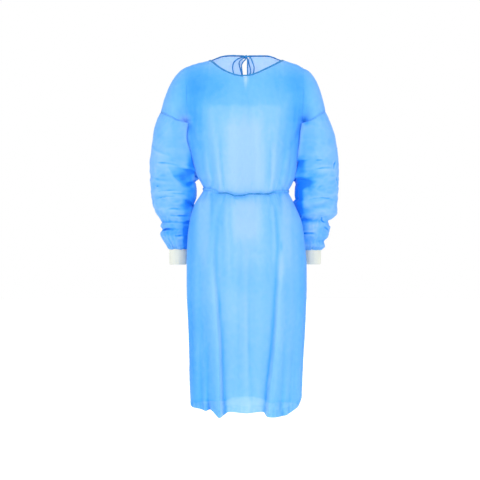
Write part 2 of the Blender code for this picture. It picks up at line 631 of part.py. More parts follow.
def neck_tie():
    def tilted(t, along, p):
        plane = along.cross(Vector((0, 1, 0)))
        return Vector((0, 1, 0)) * 0.6 + plane * 0.8

    for name, stations in NECK_STRIPS.items():
        steps = 16 if "loop" in name else 9
        strip(name, spread(stations, steps), tilted, 4.2, steps)
    knot("neck_knot", Vector(KNOT_NECK), Vector((6.4, 4.6, 5.6)))


def knot(name, centre, half):
    mesh = bpy.data.meshes.new(name)
    bm = bmesh.new()
    bmesh.ops.create_uvsphere(bm, u_segments=10, v_segments=6, radius=1.0)
    for v in bm.verts:
        v.co = (centre + Vector((v.co.x * half.x, v.co.y * half.y, v.co.z * half.z))) * MM
    bm.to_mesh(mesh)
    bm.free()
    mesh.shade_smooth()
    obj = bpy.data.objects.new(name, mesh)
    gown.objects.link(obj)
    obj.data.materials.append(material(name + "_finish", TRIM))
    return obj


def back_outer(x, z, off):
    """A point `off` outside the outer face of the lapped back, as a strip over it lies."""
    w = half_width(z, x)
    angle = math.degrees(math.asin(max(-0.99, min(0.99, x / w))))
    p = below_armpit(BACK, angle, z)
    reach = LAP * smooth((92.0 - x) / 52.0) * smooth((x + 96.0) / 52.0)
    return p + outward(BACK, angle, z) * (WALL + off) + Vector((0, reach, 0))


def waist_tie():
    """Ring of strip on the waist, made from the panels' own rows next to it, moved out."""
    n = 2 * INNER_COLUMNS
    front = [(FRONT, a) for a in side_angles(LEFT)[:-1]
             + [lerp(-NECK_ANGLE, NECK_ANGLE, j / n) for j in range(n + 1)] + side_angles(RIGHT)[-2::-1]]
    back = [(BACK, a) for a in side_angles(RIGHT)[1:-1]
            + [lerp(NECK_ANGLE, -NECK_ANGLE, j / n) for j in range(n + 1)] + side_angles(LEFT)[-2:0:-1]]
    ring = front + back
    grid = {}
    for i, t in enumerate((0.5 - BELT_HEIGHT / 20, 0.5 + BELT_HEIGHT / 20)):
        for j, (face, a) in enumerate(ring):
            low, high = (below_armpit(face, a, row_height(face, Row("belt", rise), a)) for rise in (-5, 5))
            p = low.lerp(high, t)
            z = p.z
            if abs(a) > 89.0:
                out = Vector((side_of(a), 0.0, 0.0))
            else:
                out = outward(face, a, z)
                out.z = 0.0
                out.normalize()
            p = p + out * (WALL + BELT_GAP)
            if face == BACK:
                p.y += LAP * smooth((92.0 - p.x) / 52.0) * smooth((p.x + 96.0) / 52.0)
            grid[(i, j)] = p
    quads = grid_quads(1, len(ring), wrap=True)
    sheet_object("waist_tie", grid, quads, TRIM, wall=TAPE_WALL)

    def upright(t, along, p):
        # flat against the cloth: the width lies across the path, in the plane of the back
        return along.cross(Vector((0, 1, 0)))

    def on_edge(t, along, p):
        plane = along.cross(Vector((0, 1, 0)))
        return Vector((0, 1, 0)) * 0.8 + plane * 0.6

    for name, stations in WAIST_STRIPS.items():
        path = [back_outer(s.x, s.z, s.off) for s in stations]
        loop = "loop" in name
        steps = 14 if loop else 10
        strip(name, spread(path, steps), on_edge if loop else upright, 6.0, steps)
    knot("waist_knot", back_outer(KNOT_WAIST.x, KNOT_WAIST.z, KNOT_WAIST.off + 2.4), Vector((8.0, 5.6, 7.0)))


def main():
    front_panel()
    back_panel(LEFT, "back_panel_left")
    back_panel(RIGHT, "back_panel_right")
    sleeve(LEFT, "sleeve_left")
    sleeve(RIGHT, "sleeve_right")
    cuff_piece(LEFT, "cuff_left")
    cuff_piece(RIGHT, "cuff_right")
    neck_binding()
    neck_tie()
    waist_tie()


clear_scene()
gown = bpy.data.collections.new("surgical_gown")
bpy.context.scene.collection.children.link(gown)
main()
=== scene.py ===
import math
from collections import namedtuple

import bmesh
import bpy
import numpy as np
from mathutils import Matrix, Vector
from mathutils.kdtree import KDTree


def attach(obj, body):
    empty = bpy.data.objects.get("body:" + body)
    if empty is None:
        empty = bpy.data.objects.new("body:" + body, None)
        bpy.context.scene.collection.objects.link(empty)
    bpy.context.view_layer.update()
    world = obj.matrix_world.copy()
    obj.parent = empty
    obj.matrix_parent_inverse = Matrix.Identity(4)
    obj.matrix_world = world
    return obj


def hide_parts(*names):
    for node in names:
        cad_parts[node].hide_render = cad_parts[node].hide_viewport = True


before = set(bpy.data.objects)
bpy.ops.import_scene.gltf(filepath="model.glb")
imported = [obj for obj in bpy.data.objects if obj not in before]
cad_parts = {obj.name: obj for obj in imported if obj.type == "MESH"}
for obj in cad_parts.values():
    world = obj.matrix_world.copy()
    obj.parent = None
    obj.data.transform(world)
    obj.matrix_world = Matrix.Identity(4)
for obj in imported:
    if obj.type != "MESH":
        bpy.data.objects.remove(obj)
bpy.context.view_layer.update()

MM = 0.001
WALL = 1.6            # cloth wall of the form that the panels follow
SEAM = 0.3
CUFF_WALL = 2.0
ARMPIT_Z = -213.0
NECK_HALF = 128.0
NECK_ANGLE = 40.0
SECTION_POWER = 2.3
YOKE_POWER = 2.2
ARM_FRONT = 62.0
ARM_BACK = 58.0
LAP = 3.6
BAND = 6.5
BAND_WALL = 2.8
CUFF_TUCK = 7.0
ALLOWANCE = 6.0       # seam allowance, turned in
FRONT, BACK = -1, 1
LEFT, RIGHT = -1, 1

# ------------------------------------------------------------------ camera
CAMERA_Y = -4500.0    # mm in front of the origin
CAMERA_Z = -603.0
FOCAL = 1339.0        # in pixels of a 480 pixel wide picture
MIDDLE_PX = 246.5     # the gown's middle in that picture


def add_camera():
    data = bpy.data.cameras.new("camera")
    data.sensor_width = 36.0
    data.lens = 36.0 * FOCAL / 480.0
    data.shift_x = -(MIDDLE_PX - 240.0) / 480.0
    data.clip_end = 60.0
    cam = bpy.data.objects.new("camera", data)
    bpy.context.scene.collection.objects.link(cam)
    cam.location = (0.0, CAMERA_Y * MM, CAMERA_Z * MM)
    cam.rotation_euler = (math.pi / 2, 0.0, 0.0)
    bpy.context.scene.camera = cam


add_camera()

# ------------------------------------------------------------------ tables of the form
Section = namedtuple("Section", "z left right front back side_y")
BODY = [
    Section(-213, 200.0, 189.0, 112, 92, 0),
    Section(-250, 200.5, 180.0, 113, 92, -8),
    Section(-300, 189.5, 172.6, 112, 90, -14),
    Section(-351, 178.5, 170.5, 108, 86, -16),
    Section(-391, 165.5, 163.0, 102, 81, -16),
    Section(-412, 154.0, 153.0, 98, 78, -14),
    Section(-435, 144.5, 141.0, 95, 76, -12),
    Section(-460, 158.0, 152.0, 101, 86, -14),
    Section(-482, 173.0, 161.0, 107, 96, -17),
    Section(-509, 183.0, 173.0, 112, 106, -18),
    Section(-543, 191.0, 185.0, 116, 114, -20),
    Section(-586, 196.0, 192.5, 119, 120, -20),
    Section(-637, 198.0, 197.5, 121, 125, -20),
    Section(-690, 199.0, 201.0, 122, 129, -20),
    Section(-771, 199.0, 201.5, 122, 133, -20),
    Section(-905, 194.5, 196.5, 120, 138, -18),
    Section(-1040, 191.5, 189.0, 117, 142, -16),
    Section(-1120, 188.5, 186.0, 115, 145, -14),
    Section(-1180, 186.0, 188.0, 114, 147, -12),
]
Line = namedtuple("Line", "x z")
BELT_FRONT = [Line(-145, -432), Line(-115, -437), Line(-90, -448), Line(-64, -449), Line(-34, -457),
              Line(-13, -456), Line(12, -451), Line(73, -451), Line(90, -445), Line(142, -441)]
BELT_BACK = [Line(-145, -432), Line(-80, -436), Line(0, -443), Line(80, -440), Line(142, -441)]
HEM_FRONT = [Line(-186, -1158), Line(-160, -1160), Line(-134, -1165), Line(-122, -1159), Line(-112, -1161),
             Line(-90, -1181), Line(-74, -1176), Line(-58, -1167), Line(0, -1171), Line(52, -1166.5),
             Line(61, -1170), Line(66, -1177), Line(94, -1180), Line(126, -1178), Line(146, -1171),
             Line(168, -1162), Line(186, -1157)]
HEM_BACK = [Line(-186, -1158), Line(-150, -1157), Line(-120, -1161), Line(-94, -1164), Line(-66, -1156), Line(-36, -1147),
            Line(10, -1146), Line(44, -1150), Line(70, -1164), Line(96, -1168), Line(126, -1164), Line(152, -1160),
            Line(186, -1157)]
NECK_FRONT = [Line(-128, -1.5), Line(-112, -15), Line(-95, -31), Line(-72, -46), Line(-50, -56),
              Line(-20, -63.5), Line(0, -63), Line(15, -60.5), Line(36, -54), Line(66, -39),
              Line(96, -23), Line(113, -11.5), Line(128, -1.5)]
NECK_BACK = [Line(-128, -1.5), Line(-110, 5.5), Line(-91, 14.0), Line(-72, 19), Line(-45, 21.5),
             Line(0, 21.0), Line(45, 20.5), Line(72, 19), Line(91, 13.5), Line(110, 4.5), Line(128, -1.5)]
SHOULDER_LEFT = [Line(128, 0), Line(147, -5), Line(170, -10.5), Line(200, -21)]
SHOULDER_RIGHT = [Line(128, 0), Line(147, -6.5), Line(170, -13.5), Line(192, -27)]
Edge = namedtuple("Edge", "z left_panel right_panel")
BACK_EDGES = [Edge(30, -9, 7), Edge(20, -9, 7), Edge(2, -15, 5), Edge(-15, -21, 3), Edge(-45, -19, 3),
              Edge(-70, -12, 2), Edge(-90, -2, -2), Edge(-130, 9, -11), Edge(-213, 25, -26),
              Edge(-330, 31, -32), Edge(-443, 33, -34), Edge(-700, 31, -33), Edge(-1190, 27, -31)]

# large folds: the form's own ones, with the steep side that the cloth really has, and smaller ones between
Fold = namedtuple("Fold", "z x height reach_left reach_right")
FRONT_FOLDS = {
    "skirt_left": [Fold(-447, -90, 0, 30, 20), Fold(-520, -108, 8, 42, 22), Fold(-650, -116, 14, 46, 22),
                   Fold(-800, -106, 20, 50, 20), Fold(-950, -94, 31, 52, 17), Fold(-1185, -86, 54, 56, 15)],
    "skirt_right": [Fold(-447, 98, 0, 20, 30), Fold(-520, 112, 8, 22, 42), Fold(-650, 116, 14, 22, 46),
                    Fold(-800, 108, 20, 20, 56), Fold(-950, 97, 31, 18, 66), Fold(-1100, 80, 44, 16, 84),
                    Fold(-1185, 71, 50, 13, 96)],
    "skirt_middle": [Fold(-600, 2, 0, 22, 16), Fold(-760, -4, 2.5, 26, 16), Fold(-960, -2, 4, 30, 14),
                     Fold(-1190, 6, 3, 30, 18)],
    "skirt_inner": [Fold(-470, -62, 0, 16, 14), Fold(-520, -66, 3, 18, 14), Fold(-640, -60, 2.5, 20, 16),
                    Fold(-780, -56, 0, 20, 16)],
    "skirt_outer": [Fold(-880, -140, 0, 14, 18), Fold(-1000, -138, 5, 16, 16), Fold(-1185, -134, 8, 14, 12)],
    "hip_right": [Fold(-460, 70, 0, 12, 12), Fold(-510, 86, 3.5, 14, 12), Fold(-620, 94, 3, 14, 10),
                  Fold(-700, 92, 0, 14, 10)],
    "side_right": [Fold(-900, 138, 0, 16, 16), Fold(-1020, 134, 4, 18, 16), Fold(-1185, 126, 7, 18, 18)],
    "chest_left": [Fold(-190, -112, 0, 30, 22), Fold(-260, -104, 4, 32, 20), Fold(-330, -97, 7.5, 30, 17),
                   Fold(-390, -90, 7, 26, 15), Fold(-436, -86, 3, 20, 14), Fold(-448, -84, 0, 20, 14)],
    "chest_right": [Fold(-190, 108, 0, 22, 30), Fold(-260, 99, 4, 20, 30), Fold(-330, 92, 7.5, 17, 28),
                    Fold(-390, 88, 7, 15, 24), Fold(-434, 84, 3, 14, 20), Fold(-446, 82, 0, 14, 20)],
    "blade_left": [Fold(-300, -136, 0, 12, 12), Fold(-360, -130, 4, 14, 12), Fold(-420, -118, 3, 12, 12),
                   Fold(-440, -114, 0, 12, 12)],
    "blade_right": [Fold(-300, 138, 0, 12, 12), Fold(-366, 128, 4, 12, 14), Fold(-420, 118, 3, 12, 12),
                    Fold(-440, 114, 0, 12, 12)],
}
BACK_FOLDS = {
    "skirt_left": [Fold(-447, -84, 0, 26, 20), Fold(-540, -92, 8, 34, 22), Fold(-760, -100, 15, 40, 22),
                   Fold(-960, -98, 22, 44, 22), Fold(-1185, -94, 32, 48, 22)],
    "skirt_right": [Fold(-447, 92, 0, 20, 26), Fold(-540, 98, 9, 22, 34), Fold(-760, 104, 17, 22, 40),
                    Fold(-960, 112, 24, 22, 42), Fold(-1185, 108, 34, 24, 46)],
    "skirt_low": [Fold(-700, -48, 0, 18, 18), Fold(-900, -52, 5, 20, 16), Fold(-1185, -50, 9, 20, 16)],
    "skirt_low_right": [Fold(-640, 60, 0, 16, 16), Fold(-860, 66, 5, 16, 18), Fold(-1185, 64, 8, 18, 20)],
    "side_left": [Fold(-620, -146, 0, 14, 14), Fold(-900, -150, 5, 16, 16), Fold(-1185, -146, 8, 16, 16)],
    "blade_left": [Fold(-236, -112, 0, 30, 22), Fold(-330, -104, 6, 28, 18), Fold(-434, -88, 3, 20, 16),
                   Fold(-446, -86, 0, 20, 16)],
    "blade_right": [Fold(-236, 104, 0, 22, 30), Fold(-330, 100, 6, 18, 26), Fold(-434, 92, 3, 16, 20),
                    Fold(-446, 90, 0, 16, 20)],
    "blade_middle": [Fold(-250, 58, 0, 16, 18), Fold(-340, 62, 4, 16, 18), Fold(-430, 56, 2, 14, 14),
                     Fold(-444, 56, 0, 14, 14)],
}

Ring = namedtuple("Ring", "x_out z_out x_in z_in y_mid depth")
SHOULDER_TURN = {LEFT: Ring(-256, -41, -204, -199, 0, 66), RIGHT: Ring(241, -40, 195, -199, 0, 66)}
SLEEVES = {
    LEFT: [
        Ring(-290, -176, -208.0, -214, 0, 66), Ring(-304.5, -206, -206.5, -232, 0, 67),
        Ring(-315, -250, -203.3, -256, 4, 67), Ring(-321, -300, -191.4, -302, 8, 67),
        Ring(-326.5, -345, -180.5, -348, 10, 66), Ring(-325.5, -398, -169.0, -398, 12, 64),
        Ring(-322, -448, -170.5, -448, 15, 60), Ring(-317, -482, -176.3, -486, 20, 56),
        Ring(-308.3, -508, -183.3, -511, 25, 52), Ring(-293.5, -531, -188.6, -533, 30, 47),
        Ring(-286.2, -545, -190.2, -547, 33, 44), Ring(-291.5, -557, -191.0, -558, 34, 46),
        Ring(-286.0, -567, -192.0, -568, 35, 43), Ring(-292.0, -583, -197.0, -583, 36.5, 45),
        Ring(-280.0, -609, -198.5, -608, 40, 40), Ring(-267.6, -627, -199.6, -627, 42, 34)],
    RIGHT: [
        Ring(266, -172, 196.5, -216, 0, 66), Ring(282.0, -208, 193.5, -233, 0, 67),
        Ring(297.7, -250, 181.6, -256, 4, 67), Ring(306.2, -300, 174.2, -302, 8, 67),
        Ring(310.9, -345, 172.9, -348, 10, 66), Ring(311.6, -397, 166.2, -397, 12, 64),
        Ring(310.0, -441, 164.3, -441, 15, 61), Ring(307.9, -474, 165.8, -474, 18, 57),
        Ring(307.5, -511, 176.5, -513, 32, 52), Ring(291.0, -529, 186.0, -530, 38, 47),
        Ring(277.4, -540, 191.0, -541, 42, 44), Ring(281.9, -562, 190.6, -562, 47, 46),
        Ring(278.8, -588, 190.6, -588, 52, 44), Ring(265.2, -608, 191.2, -608, 56, 38),
        Ring(268.6, -623, 191.2, -622, 58, 38), Ring(261.0, -631, 191.0, -631, 60, 32)],
}
Bulge = namedtuple("Bulge", "z_out z_in height reach")
SLEEVE_BULGES = {
    LEFT: [Bulge(-275, -330, 3.0, 34), Bulge(-372, -356, 3.5, 30), Bulge(-436, -470, 4.0, 30),
           Bulge(-492, -516, 3.0, 20)],
    RIGHT: [Bulge(-292, -338, 3.0, 34), Bulge(-378, -350, 3.5, 30), Bulge(-450, -486, 4.0, 30),
            Bulge(-500, -520, 3.0, 20)],
}
Cuff = namedtuple("Cuff", "x y half_width half_depth seam_z end_z")
CUFFS = {LEFT: Cuff(-232.3, 42, 30.5, 26, -633.0, -686.5), RIGHT: Cuff(224.1, 60, 30.6, 26, -636.0, -686.0)}

# creases of a sleeve seen from the front: both ends, how far the line bows, half width, depth (minus is a
# trough), how strong it is at its first end, and "soft" for a trough or ridge, "lip" for a lapping edge or
# "tuck" for a trough that is sharp above its line and soft below it
Crease = namedtuple("Crease", "x0 z0 x1 z1 bow width height start kind")
SLEEVE_CREASES = {
    LEFT: [
        Crease(-317, -290, -238, -332, -6, 11, 3.2, 0.5, "lip"),
        Crease(-301, -345, -216, -358, 3, 3.4, -2.2, 0.1, "soft"),
        Crease(-163, -391, -236, -357, 5, 9.0, -7.5, 1.0, "tuck"),
        Crease(-176, -312, -186, -360, 4, 9.0, -4.5, 0.5, "soft"),
        Crease(-256, -371, -196, -424, -13, 10, 4.2, 0.3, "lip"),
        Crease(-166, -404, -214, -428, -5, 7.0, -4.0, 1.0, "soft"),
        Crease(-306, -422, -284, -427, 0, 2.8, -2.4, 0.5, "tuck"),
        Crease(-292, -441, -210, -438, 2, 2.6, -2.4, 0.4, "tuck"),
        Crease(-260, -448, -196, -450, 1, 2.2, -1.8, 0.4, "soft"),
        Crease(-300, -466, -214, -456, 3, 2.8, -2.6, 0.4, "tuck"),
        Crease(-170, -503, -216, -466, -4, 6.5, -6.5, 1.0, "tuck"),
        Crease(-261, -499, -216, -502, 2, 3.4, -2.6, 0.2, "soft"),
        Crease(-252, -521, -200, -519, -2, 3.4, -2.6, 0.4, "soft"),
        Crease(-187, -531, -222, -546, 3, 5.0, -6.0, 1.0, "soft"),
        Crease(-290, -549, -194, -556, 5, 8.0, 4.5, 0.8, "lip"),
        Crease(-282, -571, -242, -565, 2, 4.0, -5.0, 0.8, "soft"),
        Crease(-238, -589, -214, -584, -2, 4.0, -3.5, 0.4, "soft"),
        Crease(-197, -570, -203, -634, 2, 6.5, -6.0, 0.9, "soft"),
        Crease(-309, -395, -262, -404, -3, 5.0, -1.4, 0.4, "soft"),
        Crease(-206, -238, -232, -300, 6, 10, -1.6, 0.9, "soft"),
    ],
    RIGHT: [
        Crease(164, -349, 220, -334, -3, 8.0, -6.5, 1.0, "tuck"),
        Crease(230, -338, 256, -337, 0, 3.0, -2.2, 0.2, "soft"),
        Crease(228, -367, 292, -364, 3, 3.4, -2.6, 0.2, "soft"),
        Crease(290, -364, 303, -334, 3, 4.0, -3.0, 0.6, "soft"),
        Crease(166, -366, 194, -356, 2, 8.0, -6.0, 1.0, "soft"),
        Crease(162, -398, 222, -410, 4, 11.0, -8.0, 1.0, "tuck"),
        Crease(172, -440, 180, -512, -4, 9.0, -4.5, 0.8, "soft"),
        Crease(170, -386, 226, -388, -6, 7.0, 3.5, 0.8, "lip"),
        Crease(212, -466, 298, -474, 9, 3.6, -3.0, 0.4, "tuck"),
        Crease(166, -505, 198, -530, 4, 5.0, -6.0, 1.0, "tuck"),
        Crease(194, -520, 184, -550, -3, 4.5, -5.0, 0.8, "soft"),
        Crease(190, -531, 272, -535, -5, 8.0, -2.6, 0.8, "soft"),
        Crease(252, -528, 270, -541, -7, 3.0, -3.2, 0.8, "soft"),
        Crease(196, -583, 238, -581, 2, 3.6, -4.0, 0.6, "soft"),
        Crease(262, -560, 280, -585, 4, 5.0, -3.0, 0.5, "soft"),
        Crease(301, -395, 306, -425, 3, 5.0, -3.0, 0.5, "soft"),
        Crease(190, -236, 208, -300, -6, 10, -1.6, 0.9, "soft"),
        Crease(236, -432, 262, -420, 3, 5.0, -1.6, 0.3, "soft"),
    ],
}
# creases of the body, on the front and on the back
BODY_CREASES = {
    FRONT: [
        Crease(186, -200, 150, -300, 6, 12, -3.6, 0.9, "soft"),
        Crease(-196, -205, -160, -310, -6, 12, -3.4, 0.9, "soft"),
        Crease(176, -222, 120, -330, 8, 12, -2.0, 0.6, "soft"),
        Crease(-182, -226, -126, -330, -8, 12, -2.0, 0.6, "soft"),
        Crease(-42, -462, -22, -471, 0, 4, -2.6, 0.7, "soft"),
        Crease(-128, -437, -108, -402, -3, 6, -3.0, 0.9, "soft"),
        Crease(-96, -446, -88, -396, 2, 6, -2.6, 0.9, "soft"),
        Crease(-60, -452, -66, -420, 1, 5, -1.6, 0.9, "soft"),
        Crease(92, -446, 84, -398, -2, 6, -2.6, 0.9, "soft"),
        Crease(126, -442, 110, -400, 3, 6, -3.0, 0.9, "soft"),
        Crease(48, -454, 52, -424, 1, 5, -1.4, 0.9, "soft"),
        Crease(-132, -446, -150, -510, -4, 7, -3.6, 0.9, "soft"),
        Crease(-116, -450, -122, -540, 3, 7, -3.0, 0.9, "soft"),
        Crease(-76, -458, -80, -520, 2, 6, -2.6, 0.9, "soft"),
        Crease(-40, -466, -34, -510, 1, 6, -1.6, 0.9, "soft"),
        Crease(30, -460, 36, -506, -1, 6, -1.6, 0.9, "soft"),
        Crease(78, -458, 84, -520, -2, 6, -2.6, 0.9, "soft"),
        Crease(112, -452, 126, -540, -3, 7, -3.0, 0.9, "soft"),
        Crease(130, -448, 150, -505, 4, 7, -3.6, 0.9, "soft"),
        Crease(-30, -760, 22, -772, 4, 16, -1.2, 0.3, "soft"),
        Crease(20, -640, 58, -652, 4, 12, -1.0, 0.3, "soft"),
        Crease(-120, -1176, -128, -1110, 2, 7, -3.0, 0.9, "soft"),
        Crease(120, -1180, 112, -1120, 2, 8, -2.6, 0.9, "soft"),
    ],
    BACK: [
        Crease(176, -205, 140, -320, 8, 12, -3.6, 0.9, "soft"),
        Crease(-180, -205, -140, -315, -8, 12, -3.6, 0.9, "soft"),
        Crease(-128, -437, -110, -390, -3, 6, -3.2, 0.9, "soft"),
        Crease(-84, -442, -78, -380, 2, 6, -3.0, 0.9, "soft"),
        Crease(-52, -444, -46, -396, -2, 5, -2.2, 0.9, "soft"),
        Crease(60, -446, 66, -386, 2, 6, -2.8, 0.9, "soft"),
        Crease(100, -444, 92, -392, -3, 6, -3.0, 0.9, "soft"),
        Crease(128, -444, 118, -398, 3, 6, -3.0, 0.9, "soft"),
        Crease(-124, -446, -140, -540, -5, 8, -3.6, 0.9, "soft"),
        Crease(-76, -450, -66, -560, 4, 7, -3.2, 0.9, "soft"),
        Crease(56, -452, 46, -560, -4, 7, -3.0, 0.9, "soft"),
        Crease(88, -450, 82, -540, 3, 7, -3.0, 0.9, "soft"),
        Crease(122, -448, 142, -530, -4, 8, -3.6, 0.9, "soft"),
        Crease(-100, -60, -60, -150, 8, 14, -2.0, 0.3, "soft"),
        Crease(110, -70, 64, -170, -8, 14, -2.0, 0.3, "soft"),
        Crease(-110, -1150, -104, -1070, 3, 8, -3.2, 0.9, "soft"),
        Crease(86, -1150, 92, -1060, -3, 8, -3.0, 0.9, "soft"),
    ],
}

# places where the cloth lies double or is drawn thin, and spots of painted shade and painted highlight where folds,
# hollows and sides fall into shade or catch the light: middle, reach across and along, deeper or paler
Patch = namedtuple("Patch", "x z across along tone edge", defaults=(1.0,))
BODY_LAYERS_AND_SHADE = {
    FRONT: [
        Patch(-4, -312, 62, 120, -0.52, 0.4), Patch(0, -100, 150, 52, 0.10), Patch(-150, -88, 84, 62, 0.62),
        Patch(132, -78, 60, 46, 0.40), Patch(-176, -200, 32, 125, 0.52), Patch(174, -190, 32, 130, 0.66),
        Patch(-150, -330, 22, 90, 0.10), Patch(150, -330, 22, 90, 0.16), Patch(-92, -720, 6, 80, -0.16),
        Patch(-84, -900, 6, 100, -0.26), Patch(-75, -1080, 6, 100, -0.26),
        Patch(-2, -530, 56, 70, -0.72, 0.5), Patch(6, -640, 70, 60, -0.30), Patch(-30, -830, 40, 60, -0.16),
        Patch(8, -1150, 64, 24, -0.22, 0.5), Patch(-2, -72, 8, 16, -0.90), Patch(196, -203, 9, 7, 0.6), Patch(-204, -202, 18, 14, -0.8), Patch(0, -800, 150, 380, -0.06), Patch(0, -800, 110, 320, -0.24), Patch(-130, -850, 50, 300, -0.14),
        Patch(140, -780, 46, 380, -0.26), Patch(-118, -1080, 30, 150, 0.10), Patch(-168, -1060, 34, 170, 0.26),
        Patch(-184, -700, 16, 420, 0.34), Patch(188, -700, 14, 420, 0.30), Patch(-140, -560, 20, 110, -0.40, 0.5),
        Patch(-158, -1000, 10, 90, -0.24), Patch(132, -560, 16, 130, -0.34, 0.5), Patch(112, -700, 12, 40, -0.40),
        Patch(-108, -520, 11, 60, 0.26, 0.7), Patch(-116, -620, 15, 70, 0.26, 0.8), Patch(104, -530, 9, 110, 0.16, 0.7),
        Patch(-104, -370, 17, 74, 0.16, 0.7), Patch(116, -330, 14, 90, 0.14, 0.7),
        Patch(114, -622, 5, 16, 0.55), Patch(-22, -462, 24, 12, 0.30), Patch(-88, -820, 5, 46, 0.30),
    ],
    BACK: [Patch(-120, -330, 50, 100, 0.16), Patch(120, -330, 50, 100, 0.16), Patch(0, -820, 90, 220, -0.16),
           Patch(-70, -8, 74, 34, -0.60, 0.6), Patch(64, -8, 66, 34, -0.60, 0.6)],
}
SLEEVE_LAYERS_AND_SHADE = {
    LEFT: [
        Patch(-180, -345, 17, 44, 1.30, 0.7), Patch(-200, -398, 24, 30, 1.00, 0.7), Patch(-236, -390, 18, 22, 0.30),
        Patch(-184, -450, 15, 34, 0.90, 0.7), Patch(-190, -490, 20, 24, 1.00, 0.7), Patch(-198, -545, 20, 26, 0.90),
        Patch(-201, -600, 13, 44, 2.10, 0.6), Patch(-262, -566, 30, 18, 0.45), Patch(-290, -330, 26, 60, -0.22),
        Patch(-200, -270, 12, 60, 0.16), Patch(-232, -536, 22, 14, -0.35), Patch(-262, -250, 20, 22, -0.20),
        Patch(-181, -352, 12, 24, 0.70), Patch(-204, -490, 17, 60, 0.60), Patch(-240, -557, 48, 14, 0.40), Patch(-250, -581, 44, 9, 0.55), Patch(-266, -480, 40, 50, -0.18),
        Patch(-226, -386, 26, 26, 0.40), Patch(-178, -400, 8, 20, -0.50),
        Patch(-258, -390, 46, 50, 0.12),
    ],
    RIGHT: [
        Patch(174, -360, 18, 32, 1.30, 0.7), Patch(184, -412, 36, 19, 1.80, 0.7), Patch(174, -472, 15, 46, 1.90, 0.7),
        Patch(180, -518, 22, 24, 1.20), Patch(194, -542, 24, 18, 0.50), Patch(238, -540, 42, 12, -0.25), Patch(250, -270, 40, 50, -0.12),
        Patch(202, -398, 34, 76, 0.34), Patch(176, -345, 12, 14, 0.6), Patch(176, -410, 20, 20, 0.5), Patch(174, -460, 12, 50, 0.4),
        Patch(268, -345, 34, 60, -0.22), Patch(262, -500, 36, 24, -0.22), Patch(222, -564, 20, 15, -0.50, 0.6),
        Patch(190, -300, 13, 60, 0.30), Patch(262, -580, 20, 30, 0.24), Patch(196, -580, 10, 40, 0.5),
        Patch(199, -213, 9, 7, 0.9),
    ],
}

# ties: stations along the middle of a strip
Station = namedtuple("Station", "x y z")
KNOT_NECK = Station(-1.2, 56.5, 21.0)
NECK_STRIPS = {
    "neck_loop_left": [Station(-4.5, 55.5, 20), Station(-10, 54, 19.5), Station(-19, 52, 17), Station(-31, 50, 11), Station(-43, 49, 0),
                       Station(-47, 49, -16), Station(-45, 50, -32), Station(-38, 51, -48),
                       Station(-29, 53, -58), Station(-20, 55, -52), Station(-17, 57, -38),
                       Station(-22, 59, -17), Station(-25, 59, 1), Station(-18, 58.5, 11),
                       Station(-9, 58.5, 15.5), Station(-4, 58, 17.5)],
    "neck_loop_right": [Station(2, 55.5, 20.5), Station(7, 54, 20), Station(14, 51, 16), Station(21, 49, -1), Station(25.5, 48, -16),
                        Station(24, 49, -34), Station(17, 51, -50), Station(11.5, 54, -42),
                        Station(14, 57, -30), Station(12, 59, -16), Station(8, 59, -3), Station(6, 58.5, 9), Station(2, 58, 16.5)],
    "neck_end_left": [Station(-2.5, 54, 16.5), Station(-4, 51, 10.5), Station(-11.5, 49.5, 2), Station(-17, 49, -12), Station(-14, 49.5, -40),
                      Station(-11, 50, -80), Station(-13, 50, -120), Station(-10, 50, -150)],
    "neck_end_right": [Station(0, 54, 16.5), Station(2.5, 52, 11), Station(3.6, 50.5, 2), Station(3.2, 50, -15), Station(3.5, 50, -50),
                       Station(5.5, 50, -95), Station(4, 50, -140), Station(6, 50, -170)],
}
Drop = namedtuple("Drop", "x z off")
KNOT_WAIST = Drop(0, -443, 6.4)
WAIST_STRIPS = {
    "waist_loop_left": [Drop(-10, -440, 6.5), Drop(-26, -436, 11), Drop(-48, -446, 15), Drop(-66, -466, 15),
                        Drop(-73, -486, 12), Drop(-62, -494, 8), Drop(-44, -480, 7), Drop(-26, -460, 6),
                        Drop(-12, -451, 5)],
    "waist_loop_right": [Drop(10, -440, 6.5), Drop(25, -437, 11), Drop(45, -449, 15), Drop(60, -472, 15),
                         Drop(64, -493, 12), Drop(53, -500, 8), Drop(38, -484, 7), Drop(24, -463, 6),
                         Drop(12, -451, 5)],
    "waist_end_left": [Drop(-5, -454, 6.0), Drop(-12, -470, 5), Drop(-18, -500, 5), Drop(-22, -560, 5),
                       Drop(-19, -620, 5), Drop(-24, -680, 5), Drop(-21, -720, 5)],
    "waist_end_right": [Drop(4.5, -454, 6.0), Drop(10, -470, 5), Drop(15, -500, 5), Drop(12, -560, 5),
                        Drop(17, -620, 5), Drop(14, -680, 5), Drop(18, -752, 5)],
}


# ------------------------------------------------------------------ small helpers
def smooth(t):
    t = np.clip(t, 0.0, 1.0)
    return t * t * (3.0 - 2.0 * t)


def lerp(a, b, t):
    return a + (b - a) * t


